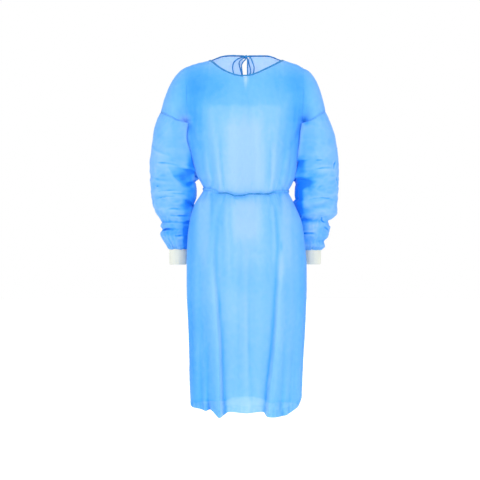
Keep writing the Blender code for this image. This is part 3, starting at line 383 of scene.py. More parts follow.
class Column:
    """A table's column read as a smooth curve that never passes the rows' own values."""

    def __init__(self, rows, key, name):
        pts = sorted((getattr(r, key), getattr(r, name)) for r in rows)
        self.x = np.array([p[0] for p in pts], float)
        self.y = np.array([p[1] for p in pts], float)
        chord = np.diff(self.y) / np.diff(self.x)
        self.m = np.empty_like(self.x)
        self.m[0], self.m[-1] = chord[0], chord[-1]
        a, b = chord[:-1], chord[1:]
        product, total = a * b, a + b
        self.m[1:-1] = np.where(product > 0, 2.0 * product / np.where(total == 0, 1.0, total), 0.0)

    def __call__(self, at):
        at = np.clip(np.asarray(at, float), self.x[0], self.x[-1])
        k = np.clip(np.searchsorted(self.x, at, side="right") - 1, 0, len(self.x) - 2)
        h = self.x[k + 1] - self.x[k]
        t = (at - self.x[k]) / h
        return ((2 * t ** 3 - 3 * t * t + 1) * self.y[k] + (t ** 3 - 2 * t * t + t) * h * self.m[k]
                + (3 * t * t - 2 * t ** 3) * self.y[k + 1] + (t ** 3 - t * t) * h * self.m[k + 1])


COLUMNS = {}


def track(rows, key, name, at):
    mark = (id(rows), key, name)
    if mark not in COLUMNS:
        COLUMNS[mark] = Column(rows, key, name)
    return COLUMNS[mark](at)


def scramble(x, y, z, seed):
    with np.errstate(over="ignore"):
        h = (x.astype(np.uint32) * np.uint32(374761393) + y.astype(np.uint32) * np.uint32(668265263)
             + z.astype(np.uint32) * np.uint32(2246822519) + np.uint32(seed * 3266489917 % 4294967296))
        h = (h ^ (h >> np.uint32(13))) * np.uint32(1274126177)
        h = (h ^ (h >> np.uint32(16))) * np.uint32(2654435761)
        return h ^ (h >> np.uint32(15))


SLOPES = np.array([(1, 1, 0), (-1, 1, 0), (1, -1, 0), (-1, -1, 0), (1, 0, 1), (-1, 0, 1), (1, 0, -1), (-1, 0, -1),
                   (0, 1, 1), (0, -1, 1), (0, 1, -1), (0, -1, -1), (1, 1, 0), (-1, 1, 0), (0, -1, 1), (0, -1, -1)],
                  float)


def noise(x, y, z=0.0, seed=0):
    """Smooth noise of about -1 to 1, the same in every run."""
    x, y, z = np.broadcast_arrays(np.asarray(x, float), np.asarray(y, float), np.asarray(z, float))
    xi, yi, zi = (np.floor(c).astype(np.int64) for c in (x, y, z))
    xf, yf, zf = x - xi, y - yi, z - zi
    fx, fy, fz = (t * t * t * (t * (t * 6 - 15) + 10) for t in (xf, yf, zf))
    total = np.zeros_like(xf)
    for dx in (0, 1):
        for dy in (0, 1):
            for dz in (0, 1):
                g = SLOPES[(scramble(xi + dx, yi + dy, zi + dz, seed) & np.uint32(15)).astype(np.int64)]
                dot = g[..., 0] * (xf - dx) + g[..., 1] * (yf - dy) + g[..., 2] * (zf - dz)
                total += (np.abs(1 - dx - fx) * np.abs(1 - dy - fy) * np.abs(1 - dz - fz)) * dot
    return total * 1.5


def crumple(x, y, z, seed):
    """Sharp-edged creases between flatter facets, about -1 to 1."""
    warp = noise(x * 0.5, y * 0.5, z * 0.5, seed + 31) * 0.7
    a = 1.0 - np.abs(noise(x + warp, y + warp, z, seed)) * 2.2
    b = 1.0 - np.abs(noise(x * 1.9 + 7.3, y * 1.9 - warp, z * 1.9, seed + 5)) * 2.2
    return np.clip(a, -1, 1) * 0.65 + np.clip(b, -1, 1) * 0.35 - 0.35


# ------------------------------------------------------------------ the body's form (inner face of the cloth)
def half_width(z, angle):
    return np.where(np.asarray(angle) < 0, track(BODY, "z", "left", z), track(BODY, "z", "right", z)) - WALL


def depth_factor(angle):
    s = np.abs(np.sin(np.radians(angle)))
    return np.maximum(0.0, 1.0 - s ** SECTION_POWER) ** (1.0 / SECTION_POWER)


def fold_offset(face, x, z):
    total = np.zeros(np.broadcast(x, z).shape)
    for stations in (FRONT_FOLDS if face == FRONT else BACK_FOLDS).values():
        inside = (z >= stations[-1].z) & (z <= stations[0].z)
        u = x - track(stations, "z", "x", z)
        reach = np.where(u < 0, track(stations, "z", "reach_left", z), track(stations, "z", "reach_right", z))
        shape = np.where(np.abs(u) < reach, np.cos(0.5 * math.pi * np.clip(u / reach, -1, 1)) ** 2, 0.0)
        total = total + np.where(inside, track(stations, "z", "height", z) * shape, 0.0)
    return total


def belt_z(face, x):
    return track(BELT_FRONT if face == FRONT else BELT_BACK, "x", "z", x)


def hem_z(face, angle):
    return track(HEM_FRONT if face == FRONT else HEM_BACK, "x", "z", np.sin(np.radians(angle)) * 186.0)


def below_armpit(face, angle, z):
    angle, z = np.broadcast_arrays(np.asarray(angle, float), np.asarray(z, float))
    s = np.sin(np.radians(angle))
    shift = (belt_z(face, s * 143.0) + 435.0) * np.exp(-((z + 440.0) / 55.0) ** 2)
    zs = z - shift
    c = depth_factor(angle)
    side_y = track(BODY, "z", "side_y", zs)
    depth = track(BODY, "z", "front" if face == FRONT else "back", zs) - WALL
    x = half_width(zs, angle) * s
    # the hem curls in at the right side
    x = x - np.where(s > 0, 14.0 * s ** 8 * smooth((-1118.0 - z) / 50.0) ** 1.5, 0.0)
    y = side_y * (1.0 - c) + face * depth * c
    y = y + face * fold_offset(face, x, z) * smooth(c / 0.35)
    return np.stack([x, y, z], axis=-1)


def shoulder_x(angle):
    s, neck = np.abs(np.sin(np.radians(angle))), math.sin(math.radians(NECK_ANGLE))
    end = np.where(np.asarray(angle) < 0, 200.0, 192.0) - WALL
    return np.where(s <= neck, NECK_HALF * s / neck, lerp(NECK_HALF, end, (s - neck) / (1.0 - neck)))


def shoulder_z(face, angle):
    x = shoulder_x(angle)
    line = np.where(np.asarray(angle) < 0, track(SHOULDER_LEFT, "x", "z", x), track(SHOULDER_RIGHT, "x", "z", x))
    u = np.maximum(0.0, 1.0 - (x / NECK_HALF) ** 2)
    dome = 20.0 * u + (75.0 * u ** 1.5 if face == BACK else 0.0)
    return np.where(x >= NECK_HALF - 1e-9, line, dome) - WALL


def yoke(face, angle, v):
    angle, v = np.broadcast_arrays(np.asarray(angle, float), np.asarray(v, float))
    top = shoulder_z(face, angle)
    sgn = np.where(angle < 0, -1.0, 1.0)
    xs = shoulder_x(angle)
    edge = track(NECK_FRONT if face == FRONT else NECK_BACK, "x", "z", sgn * xs) - WALL
    reach = np.where(xs < NECK_HALF - 1e-9, np.minimum(1.0, (edge - ARMPIT_Z) / (top - ARMPIT_Z)), 1.0)
    q = smooth((np.abs(angle) - 55.0) / 35.0)
    level = lerp(np.sin(v * np.arcsin(reach)), 0.5 * (1.0 - np.cos(math.pi * v)), q)
    c = depth_factor(angle)
    full = track(BODY, "z", "front" if face == FRONT else "back", ARMPIT_Z) - WALL
    here = full * (1.0 - 0.33 * np.sin(np.radians(angle)) ** 2)
    w = 1.0 - c * full / here
    dome = np.maximum(0.0, 1.0 - level ** YOKE_POWER) ** (1.0 / YOKE_POWER)
    arm = np.sqrt(np.maximum(0.0, 1.0 - (2.0 * level - 1.0) ** 2))
    soft = np.where(level < 0.5, np.sin(math.pi * level) ** 2, arm)
    arm = lerp(arm, soft, np.minimum(1.0, 2.0 * np.cos(np.radians(angle))))
    y = face * ((1.0 - w) * here * dome + w * ((ARM_FRONT if face == FRONT else ARM_BACK) - WALL) * arm)
    x = lerp(half_width(ARMPIT_Z, angle) * np.abs(np.sin(np.radians(angle))), xs, level)
    return np.stack([sgn * x, y, lerp(ARMPIT_Z, top, level)], axis=-1)


def ring_form(x_out, z_out, x_in, z_in, y_mid, depth, psi, sgn, inset=WALL):
    f = 0.5 * (1.0 - np.cos(np.radians(psi)))
    x = lerp(x_in + sgn * inset, x_out - sgn * inset, f)
    z = lerp(z_in, z_out, f)
    y = y_mid - (depth - inset) * np.sin(np.radians(psi))
    return np.stack(np.broadcast_arrays(x, y, z), axis=-1)


def drop_shoulder(face, sgn, v, w):
    v, w = np.broadcast_arrays(np.asarray(v, float), np.asarray(w, float))
    psi = 180.0 * v if face == FRONT else 360.0 - 180.0 * v
    a = yoke(face, 90.0 * sgn, v)
    c = ring_form(*SHOULDER_TURN[sgn], psi, sgn)
    b = ring_form(*SLEEVES[sgn][0], psi, sgn)
    w = w[..., None]
    return a * (1 - w) ** 2 + c * (2 * w * (1 - w)) + b * w * w


def back_edge_angle(sgn, z):
    x = track(BACK_EDGES, "z", "left_panel" if sgn == LEFT else "right_panel", z)
    w = half_width(np.clip(z, -1180.0, ARMPIT_Z), x)
    return np.degrees(np.arcsin(np.clip(x / w, -1.0, 1.0)))


def lap_offset(x, z):
    return LAP * smooth((92.0 - x) / 52.0) * smooth((-62.0 - z) / 42.0)


# ------------------------------------------------------------------ creases and wrinkles
def line_points(a, b, bow, steps=20):
    """Points along a line from a to b that bows out sideways in the middle."""
    a, b = np.array(a, float), np.array(b, float)
    t = np.linspace(0.0, 1.0, steps + 1)[:, None]
    side = np.array([-(b - a)[1], (b - a)[0]])
    side = side / max(1e-6, np.linalg.norm(side))
    return a + (b - a) * t + side * (bow * 4.0 * t * (1.0 - t))


def crease_offset(px, pz, path, width, height, start, kind):
    """What one crease adds at the points (px, pz); its line is `path` in the same flat coordinates."""
    out = np.zeros_like(px)
    margin = width * (9.0 if kind == "lip" else 4.0)
    lo, hi = path.min(axis=0) - margin, path.max(axis=0) + margin
    near = np.nonzero((px > lo[0]) & (px < hi[0]) & (pz > lo[1]) & (pz < hi[1]))[0]
    if not len(near):
        return out
    qx, qz = px[near], pz[near]
    best, along, side = np.full(len(near), 1e9), np.zeros(len(near)), np.ones(len(near))
    for k in range(len(path) - 1):
        (ax, az), (bx, bz) = path[k], path[k + 1]
        dx, dz = bx - ax, bz - az
        t = np.clip(((qx - ax) * dx + (qz - az) * dz) / (dx * dx + dz * dz), 0, 1)
        ex, ez = qx - ax - t * dx, qz - az - t * dz
        d = np.hypot(ex, ez)
        closer = d < best
        best = np.where(closer, d, best)
        along = np.where(closer, (k + t) / (len(path) - 1), along)
        side = np.where(closer, np.sign(dx * ez - dz * ex), side)
    # stronger at its first end and fading at the other, a little uneven on the way
    rise = start + (1.0 - start) * smooth(along / 0.3)
    fall = smooth((1.0 - along) / 0.55)
    beat = 1.0 + 0.18 * np.sin(along * 11.0 + path[0][0])
    taper = rise * fall * beat
    w = width * (0.75 + 0.4 * along)
    if kind == "soft":
        q = best / w
        shape = np.exp(-q * q * 1.3) - 0.22 * np.exp(-((q - 1.9) / 0.8) ** 2)
    elif kind == "tuck":
        q = best / w
        shape = np.where(side < 0, np.exp(-q / 1.5), np.exp(-(q / 0.30) ** 2) - 0.25 * np.exp(-((q - 0.9) / 0.5) ** 2))
    else:
        q = best / w
        shape = np.where(side > 0, np.exp(-q / 2.2), np.exp(-(q / 0.42) ** 2))
    out[near] = height * taper * shape
    return out


# ------------------------------------------------------------------ cloth pieces
class Cloth:
    """Points of one piece of cloth, in mm, with what each knows of its place."""

    def __init__(self, name):
        self.name = name
        self.points, self.flat, self.place, self.quads = [], [], [], []
        self.count = 0

    def add(self, points, flat, place):
        """A grid of points, R x C x 3, with flat coordinates R x C x 2 and a place of R x C x 3."""
        shape = points.shape[:2]
        index = np.arange(self.count, self.count + shape[0] * shape[1]).reshape(shape)
        self.count += index.size
        self.points.append(points.reshape(-1, 3))
        self.flat.append(np.broadcast_to(flat, shape + (2,)).reshape(-1, 2))
        self.place.append(np.broadcast_to(place, shape + (3,)).reshape(-1, 3))
        return index

    def faces(self, index, flip=False, wrap=False):
        if wrap:
            index = np.concatenate([index, index[:, :1]], axis=1)
        a, b, c, d = index[:-1, :-1], index[:-1, 1:], index[1:, 1:], index[1:, :-1]
        quads = np.stack([a, b, c, d], axis=-1).reshape(-1, 4)
        self.quads.append(quads[:, ::-1] if flip else quads)

    def close(self):
        self.p = np.concatenate(self.points)
        self.f = np.concatenate(self.flat)
        self.at = np.concatenate(self.place)
        self.q = np.concatenate(self.quads)
        self.edges = np.concatenate([self.q[:, [k, (k + 1) % 4]] for k in range(4)])
        flat_edges = np.sort(self.edges, axis=1)
        code = flat_edges[:, 0].astype(np.int64) * self.count + flat_edges[:, 1]
        unique, times = np.unique(code, return_counts=True)
        self.pairs = np.stack([unique // self.count, unique % self.count], axis=1)
        rim = self.pairs[times == 1]
        self.rim = np.zeros(self.count, bool)
        self.rim[rim.ravel()] = True
        self.degree = np.maximum(1, np.bincount(self.pairs.ravel(), minlength=self.count))

    def normals(self, p=None):
        p = self.p if p is None else p
        a, b, c, d = (p[self.q[:, k]] for k in range(4))
        n = np.cross(c - a, d - b)
        total = np.zeros_like(p)
        for axis in range(3):
            for k in range(4):
                total[:, axis] += np.bincount(self.q[:, k], weights=n[:, axis], minlength=self.count)
        return total / np.maximum(1e-9, np.linalg.norm(total, axis=1))[:, None]

    def spread(self, values):
        """Mean of each point's neighbours."""
        i, j = self.pairs[:, 0], self.pairs[:, 1]
        if values.ndim == 1:
            return (np.bincount(i, weights=values[j], minlength=self.count)
                    + np.bincount(j, weights=values[i], minlength=self.count)) / self.degree
        return np.stack([self.spread(values[:, k]) for k in range(values.shape[1])], axis=1)

    def relax(self, weight, rounds):
        """Even out the surface where weight is above 0; rims stay."""
        w = (weight * ~self.rim)[:, None]
        for _ in range(rounds):
            self.p = self.p + (self.spread(self.p) - self.p) * w * 0.6


def seam_distance(points, seam_points, limit=40.0):
    """Distance of each point to the nearest seam point, and that seam point's number along the seam."""
    tree = KDTree(len(seam_points))
    for k, p in enumerate(seam_points):
        tree.insert(Vector(p), k)
    tree.balance()
    lo, hi = seam_points.min(axis=0) - limit, seam_points.max(axis=0) + limit
    near = np.all((points > lo) & (points < hi), axis=1)
    distance = np.full(len(points), limit)
    number = np.zeros(len(points))
    for k in np.nonzero(near)[0]:
        _, n, d = tree.find(Vector(points[k]))
        if d < limit:
            distance[k], number[k] = d, n
    return distance, number


def cavity(cloth, p, rounds):
    """How deep each point lies below its surroundings, in mm."""
    s = p.copy()
    for _ in range(rounds):
        s = s + (cloth.spread(s) - s) * 0.7
    return np.einsum("ij,ij->i", s - p, cloth.normals(s))


def make_object(name, p, quads, material, attributes=None, node=()):
    mesh = bpy.data.meshes.new(name)
    mesh.vertices.add(len(p))
    mesh.vertices.foreach_set("co", (p * MM).astype(np.float32).ravel())
    quads = np.asarray(quads, np.int32)
    mesh.loops.add(quads.size)
    mesh.loops.foreach_set("vertex_index", quads.ravel())
    mesh.polygons.add(len(quads))
    mesh.polygons.foreach_set("loop_start", np.arange(0, quads.size, quads.shape[1], dtype=np.int32))
    mesh.update(calc_edges=True)
    mesh.validate()
    mesh.shade_smooth()
    for key, values in (attributes or {}).items():
        values = np.asarray(values, np.float32)
        kind = "FLOAT" if values.ndim == 1 else "FLOAT_VECTOR"
        attribute = mesh.attributes.new(key, kind, "POINT")
        attribute.data.foreach_set("value" if values.ndim == 1 else "vector", values.ravel())
    mesh.materials.append(material)
    obj = bpy.data.objects.new(name, mesh)
    bpy.context.scene.collection.objects.link(obj)
    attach(obj, "root")
    for n in node:
        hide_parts(n)
    return obj


# ------------------------------------------------------------------ materials
class Nodes:
    """Short calls for making a material's nodes."""

    def __init__(self, name):
        self.mat = bpy.data.materials.new(name)
        self.mat.use_nodes = True
        self.tree = self.mat.node_tree
        self.tree.nodes.clear()

    def node(self, kind, values=None, links=None, **settings):
        n = self.tree.nodes.new(kind)
        for key, value in settings.items():
            setattr(n, key, value)
        for key, value in (values or {}).items():
            n.inputs[key].default_value = value
        for key, source in (links or {}).items():
            self.tree.links.new(source, n.inputs[key])
        return n

    def math(self, operation, a, b=None, c=None, clamp=False):
        n = self.node("ShaderNodeMath", operation=operation, use_clamp=clamp)
        for k, v in enumerate((a, b, c)):
            if v is None:
                continue
            if isinstance(v, (int, float)):
                n.inputs[k].default_value = v
            else:
                self.tree.links.new(v, n.inputs[k])
        return n.outputs[0]

    def attribute(self, name, output="Fac"):
        return self.node("ShaderNodeAttribute", attribute_name=name).outputs[output]

    def ramp(self, fac, stops, interpolation="EASE"):
        n = self.node("ShaderNodeValToRGB", links={"Fac": fac})
        n.color_ramp.interpolation = interpolation
        ramp = n.color_ramp.elements
        while len(ramp) < len(stops):
            ramp.new(0.5)
        for element, (position, colour) in zip(ramp, stops):
            element.position = position
            element.color = (*colour, 1.0)
        return n.outputs["Color"]

    def mix_shader(self, fac, a, b):
        n = self.node("ShaderNodeMixShader")
        if isinstance(fac, (int, float)):
            n.inputs[0].default_value = fac
        else:
            self.tree.links.new(fac, n.inputs[0])
        self.tree.links.new(a, n.inputs[1])
        self.tree.links.new(b, n.inputs[2])
        return n.outputs[0]

    def finish(self, shader):
        out = self.node("ShaderNodeOutputMaterial")
        self.tree.links.new(shader, out.inputs["Surface"])
        return self.mat


def dye_and_shade(*stops):
    """Stops of a colour ramp from pale to deep blue, its deep end mostly reached through painted shade: how much red
    light the blue-dyed cloth lets through sets the rest.
    """
    return [(at, (t, 0.79 * t ** 0.27 + 0.035 * max(0.0, 1.0 - t / 0.10), 0.95 * t ** 0.03)) for at, t in stops]


def cloth_material(name="gown_nonwoven"):
    """Spun-bonded non-woven: random fibres, a grid of small bond points, thin and a little see-through; its blue is
    painted deeper in shade and paler in light through the tone attribute.
    """
    m = Nodes(name)
    at = m.attribute("flat_mm", "Vector")
    split = m.node("ShaderNodeSeparateXYZ", links={"Vector": at})
    tone = m.attribute("tone")
    seam = m.attribute("seam_mm")
    run = m.attribute("seam_run")
    place = m.node("ShaderNodeTexCoord").outputs["Object"]

    def cloud(scale, detail, rough, stretch=(1, 1, 1)):
        mapped = m.node("ShaderNodeMapping", values={"Scale": stretch}, links={"Vector": place}).outputs[0]
        return m.node("ShaderNodeTexNoise", values={"Scale": scale, "Detail": detail, "Roughness": rough},
                      links={"Vector": mapped}).outputs["Fac"]

    broad = cloud(6.0, 2.0, 0.5)
    blotch = cloud(48.0, 3.0, 0.6)
    fibre_a = cloud(520.0, 3.0, 0.7, (1.0, 1.0, 0.16))
    fibre_b = cloud(560.0, 3.0, 0.7, (0.22, 0.22, 1.0))
    fibre = m.math("MULTIPLY_ADD", fibre_a, 0.5, m.math("MULTIPLY", fibre_b, 0.5))

    # bond points: a diagonal grid of small pressed ovals, 1.7 mm apart
    pitch = 2.0 * math.pi / 2.4
    wave_u = m.math("SINE", m.math("MULTIPLY", split.outputs[0], pitch))
    wave_v = m.math("SINE", m.math("MULTIPLY", split.outputs[1], pitch))
    bond = m.math("MULTIPLY", wave_u, wave_v)
    bond = m.node("ShaderNodeMapRange", values={"From Min": 0.45, "From Max": 0.85, "To Min": 0.0, "To Max": 1.0},
                  links={"Value": bond}).outputs[0]

    # welded seam: pressed dashes along a line 2.4 mm from the seam
    line = m.math("SUBTRACT", 1.0, m.math("DIVIDE", m.math("ABSOLUTE", m.math("SUBTRACT", seam, 2.6)), 0.9),
                  clamp=True)
    dash = m.math("GREATER_THAN", m.math("SINE", m.math("MULTIPLY", run, 2.0 * math.pi / 3.4)), -0.1)
    weld = m.math("MULTIPLY", line, dash)
    near_seam = m.math("SUBTRACT", 1.0, m.math("DIVIDE", seam, 5.5), clamp=True)

    # how deep the blue is: painted shade and painted highlight from the tone attribute, plus the cloth's own mottling,
    # fibres and seams
    level = m.math("MULTIPLY_ADD", tone, 0.40, 0.405)
    level = m.math("ADD", level, m.math("MULTIPLY_ADD", broad, 0.16, -0.08))
    level = m.math("ADD", level, m.math("MULTIPLY_ADD", blotch, 0.10, -0.05))
    level = m.math("ADD", level, m.math("MULTIPLY_ADD", fibre, 0.24, -0.12))
    level = m.math("ADD", level, m.math("MULTIPLY", near_seam, 0.03))
    level = m.math("ADD", level, m.math("MULTIPLY", weld, 0.06))
    colour = m.ramp(level, dye_and_shade((0.0, 0.36), (0.2, 0.235), (0.4, 0.135), (0.6, 0.062), (0.8, 0.018), (1.0, 0.003)),
                    "LINEAR")
    through = m.ramp(level, dye_and_shade((0.0, 0.60), (0.2, 0.46), (0.4, 0.32), (0.6, 0.17), (0.8, 0.06), (1.0, 0.012)),
                     "LINEAR")

    height = m.math("MULTIPLY", fibre, 0.45)
    height = m.math("ADD", height, m.math("MULTIPLY", bond, -0.35))
    height = m.math("ADD", height, m.math("MULTIPLY", weld, -0.6))
    bump = m.node("ShaderNodeBump", values={"Strength": 0.35, "Distance": 0.0003}, links={"Height": height})
    body = m.node("ShaderNodeBsdfPrincipled",
                  values={"Roughness": 0.58, "Specular IOR Level": 0.35, "Sheen Weight": 0.12,
                          "Sheen Roughness": 0.45, "Metallic": 0.0},
                  links={"Base Color": colour, "Normal": bump.outputs[0]})
    glow = m.node("ShaderNodeBsdfTranslucent", links={"Color": through, "Normal": bump.outputs[0]})
    clear = m.node("ShaderNodeBsdfTransparent", values={"Color": (1.0, 1.0, 1.0, 1.0)})
    cloth = m.mix_shader(0.42, body.outputs[0], glow.outputs[0])
    gap = m.math("MULTIPLY_ADD", level, -0.085, 0.108)
    gap = m.math("ADD", gap, m.math("MULTIPLY", bond, 0.05))
    gap = m.math("ADD", gap, m.math("MULTIPLY_ADD", fibre, -0.20, 0.10), clamp=True)
    return m.finish(m.mix_shader(gap, cloth, clear.outputs[0]))


def trim_material(name="gown_tape"):
    """Narrow tape of the same non-woven, folded and pressed, deeper in colour."""
    m = Nodes(name)
    place = m.node("ShaderNodeTexCoord").outputs["Object"]
    run = m.attribute("seam_run")
    across = m.attribute("seam_mm")
    blotch = m.node("ShaderNodeTexNoise", values={"Scale": 90.0, "Detail": 3.0}, links={"Vector": place})
    fibre = m.node("ShaderNodeTexNoise", values={"Scale": 900.0, "Detail": 3.0, "Roughness": 0.7},
                   links={"Vector": place})
    stitch = m.math("MULTIPLY",
                    m.math("GREATER_THAN", m.math("SINE", m.math("MULTIPLY", run, 2.0 * math.pi / 2.6)), -0.2),
                    m.math("SUBTRACT", 1.0, m.math("DIVIDE", m.math("ABSOLUTE", across), 0.35), clamp=True))
    level = m.math("MULTIPLY_ADD", blotch.outputs["Fac"], 0.5, m.math("MULTIPLY", fibre.outputs["Fac"], 0.4))
    level = m.math("ADD", level, m.math("MULTIPLY", stitch, -0.22))
    level = m.math("ADD", level, m.math("MULTIPLY", m.attribute("tone"), 0.42))
    colour = m.ramp(level, [(0.15, (0.008, 0.13, 0.36)), (0.45, (0.022, 0.23, 0.54)), (0.65, (0.07, 0.36, 0.72)),
                            (1.0, (0.16, 0.47, 0.90))],
                    "LINEAR")
    height = m.math("ADD", m.math("MULTIPLY", fibre.outputs["Fac"], 0.4), m.math("MULTIPLY", stitch, 0.8))
    bump = m.node("ShaderNodeBump", values={"Strength": 0.4, "Distance": 0.0003}, links={"Height": height})
    body = m.node("ShaderNodeBsdfPrincipled",
                  values={"Roughness": 0.55, "Specular IOR Level": 0.35, "Sheen Weight": 0.1, "Metallic": 0.0},
                  links={"Base Color": colour, "Normal": bump.outputs[0]})
    glow = m.node("ShaderNodeBsdfTranslucent", links={"Color": colour})
    return m.finish(m.mix_shader(0.25, body.outputs[0], glow.outputs[0]))


def knit_material(name="gown_knit"):
    """Ribbed cotton knit of the cuffs: columns of small loops, soft and matt, with painted shade in the rib valleys."""
    m = Nodes(name)
    at = m.attribute("flat_mm", "Vector")
    split = m.node("ShaderNodeSeparateXYZ", links={"Vector": at})
    rib = m.attribute("tone")
    place = m.node("ShaderNodeTexCoord").outputs["Object"]
    fuzz = m.node("ShaderNodeTexNoise", values={"Scale": 1300.0, "Detail": 3.0, "Roughness": 0.7},
                  links={"Vector": place}).outputs["Fac"]
    blotch = m.node("ShaderNodeTexNoise", values={"Scale": 70.0, "Detail": 3.0}, links={"Vector": place}).outputs["Fac"]
    wale = m.math("SINE", m.math("MULTIPLY", split.outputs[0], 2.0 * math.pi / 1.05))
    lean = m.math("MULTIPLY", m.math("ABSOLUTE", wale), 0.42)
    course = m.math("SINE", m.math("MULTIPLY", m.math("ADD", split.outputs[1], lean), 2.0 * math.pi / 0.95))
    loop = m.math("MULTIPLY_ADD", course, 0.5, m.math("MULTIPLY", m.math("ABSOLUTE", wale), 0.5))
    # painted shade: the rib valleys are coloured darker and the rib ridges lighter
    level = m.math("MULTIPLY_ADD", rib, 0.35, 0.45)
    level = m.math("ADD", level, m.math("MULTIPLY_ADD", loop, 0.10, -0.03))
    level = m.math("ADD", level, m.math("MULTIPLY_ADD", blotch, 0.16, -0.08))
    level = m.math("ADD", level, m.math("MULTIPLY_ADD", fuzz, 0.16, -0.08))
    colour = m.ramp(level, [(0.0, (0.50, 0.54, 0.52)), (0.40, (0.74, 0.76, 0.68)), (1.0, (0.88, 0.885, 0.81))],
                    "LINEAR")
    height = m.math("ADD", m.math("MULTIPLY", loop, 0.6), m.math("MULTIPLY", fuzz, 0.4))
    bump = m.node("ShaderNodeBump", values={"Strength": 0.6, "Distance": 0.0004}, links={"Height": height})
    body = m.node("ShaderNodeBsdfPrincipled",
                  values={"Roughness": 0.88, "Specular IOR Level": 0.2, "Sheen Weight": 0.25, "Metallic": 0.0},
                  links={"Base Color": colour, "Normal": bump.outputs[0]})
    glow = m.node("ShaderNodeBsdfTranslucent", links={"Color": colour})
    return m.finish(m.mix_shader(0.22, body.outputs[0], glow.outputs[0]))


CLOTH = cloth_material()
TAPE = trim_material()
KNIT = knit_material()

# ------------------------------------------------------------------ panels
DEGREE_MM = 3.4        # across the body, mm of cloth to a degree, for the flat coordinates
BODY_ROWS = 250
YOKE_ROWS = 66
WING_COLUMNS = 27
YOKE_LENGTH = 262.0
WING_LENGTH = 96.0


def body_side_x(sgn, y, z):
    """How far out the body reaches at depth y, on one side."""
    hw = half_width(z, 90.0 * sgn) + 4.0 * armpit_swell(z)
    side_y = track(BODY, "z", "side_y", z)
    depth = np.where(y < side_y, track(BODY, "z", "front", z), track(BODY, "z", "back", z))
    s = np.clip(np.abs(y - side_y) / depth, 0.0, 0.999)
    return hw * (1.0 - s ** SECTION_POWER) ** (1.0 / SECTION_POWER)


def armpit_swell(z):
    return smooth((ARMPIT_Z + 10.0 - z) / 10.0) * smooth((z + 350.0) / 90.0)


Touch = namedtuple("Touch", "upper_end lower_start")
TOUCH = {LEFT: Touch(-388, -480), RIGHT: Touch(-402, -464)}


def lie_against(sgn, p, psi, run):
    """Where a sleeve touches the body its inner side is pressed flat and follows it."""
    x, y, z = p.T
    gap = np.abs(x) - body_side_x(sgn, y, z) - 0.5 * WALL - 2.3 + 1.3 * smooth((z + 350.0) / 50.0)
    a = np.where(psi > 180.0, psi - 360.0, psi)
    w_front = 1.0 - smooth((a - 40.0) / 36.0)
    w_back = 1.0 - smooth((-a - 4.0) / 60.0)
    w = np.where(a >= 0, w_front, w_back)
    touch = TOUCH[sgn]
    upper = smooth(run / 5.0) * smooth((z - touch.upper_end + 16.0) / 22.0)
    lower = smooth((touch.lower_start - z) / 16.0) * smooth((z + 640.0) / 20.0)
    shift = np.clip(gap, 0.0, 25.0) * w * upper + np.clip(gap, 0.0, 13.0) * w * lower
    # between the two touches the sleeve bellies out a little towards the waist
    free = smooth((touch.upper_end + 6.0 - z) / 20.0) * smooth((z - touch.lower_start + 6.0) / 20.0)
    shift = shift + 3.6 * free * (1.0 - smooth((np.abs(a) - 30.0) / 50.0))
    out = p.copy()
    out[:, 0] -= sgn * shift
    return out


def add_fin(cloth, chain, p, n, flat, place):
    """Seam allowance: the edge turns in and runs on inside for a few millimetres."""
    depths = (0.35, 2.2, 4.2, ALLOWANCE)
    rows = np.stack([p[chain] - n[chain] * d for d in depths])
    first = cloth.count
    index = np.arange(first, first + rows.shape[0] * rows.shape[1]).reshape(rows.shape[:2])
    cloth.count += index.size
    return rows, np.concatenate([chain[None, :], index], axis=0)


def finish_cloth(cloth, p, seam_chains, tone, material, nodes, flips=None):
    """Add the turned-in allowances and make the object."""
    n = cloth.normals(p)
    quads = [cloth.q]
    extra_p, extra_from = [], []
    for chain, flip in seam_chains:
        rows, index = add_fin(cloth, chain, p, n, None, None)
        extra_p.append(rows.reshape(-1, 3))
        extra_from.append(np.tile(chain, rows.shape[0]))
        a, b, c, d = index[:-1, :-1], index[:-1, 1:], index[1:, 1:], index[1:, :-1]
        q = np.stack([a, b, c, d], axis=-1).reshape(-1, 4)
        quads.append(q[:, ::-1] if flip else q)
    source = np.concatenate([np.arange(len(p))] + extra_from)
    allp = np.concatenate([p] + extra_p)
    flat = np.concatenate([cloth.f, np.zeros((len(cloth.f), 1))], axis=1)[source]
    attributes = {"flat_mm": flat, "tone": tone[source], "seam_mm": cloth.seam[source],
                  "seam_run": cloth.run[source]}
    return make_object(cloth.name, allp, np.concatenate(quads), material, attributes, nodes)


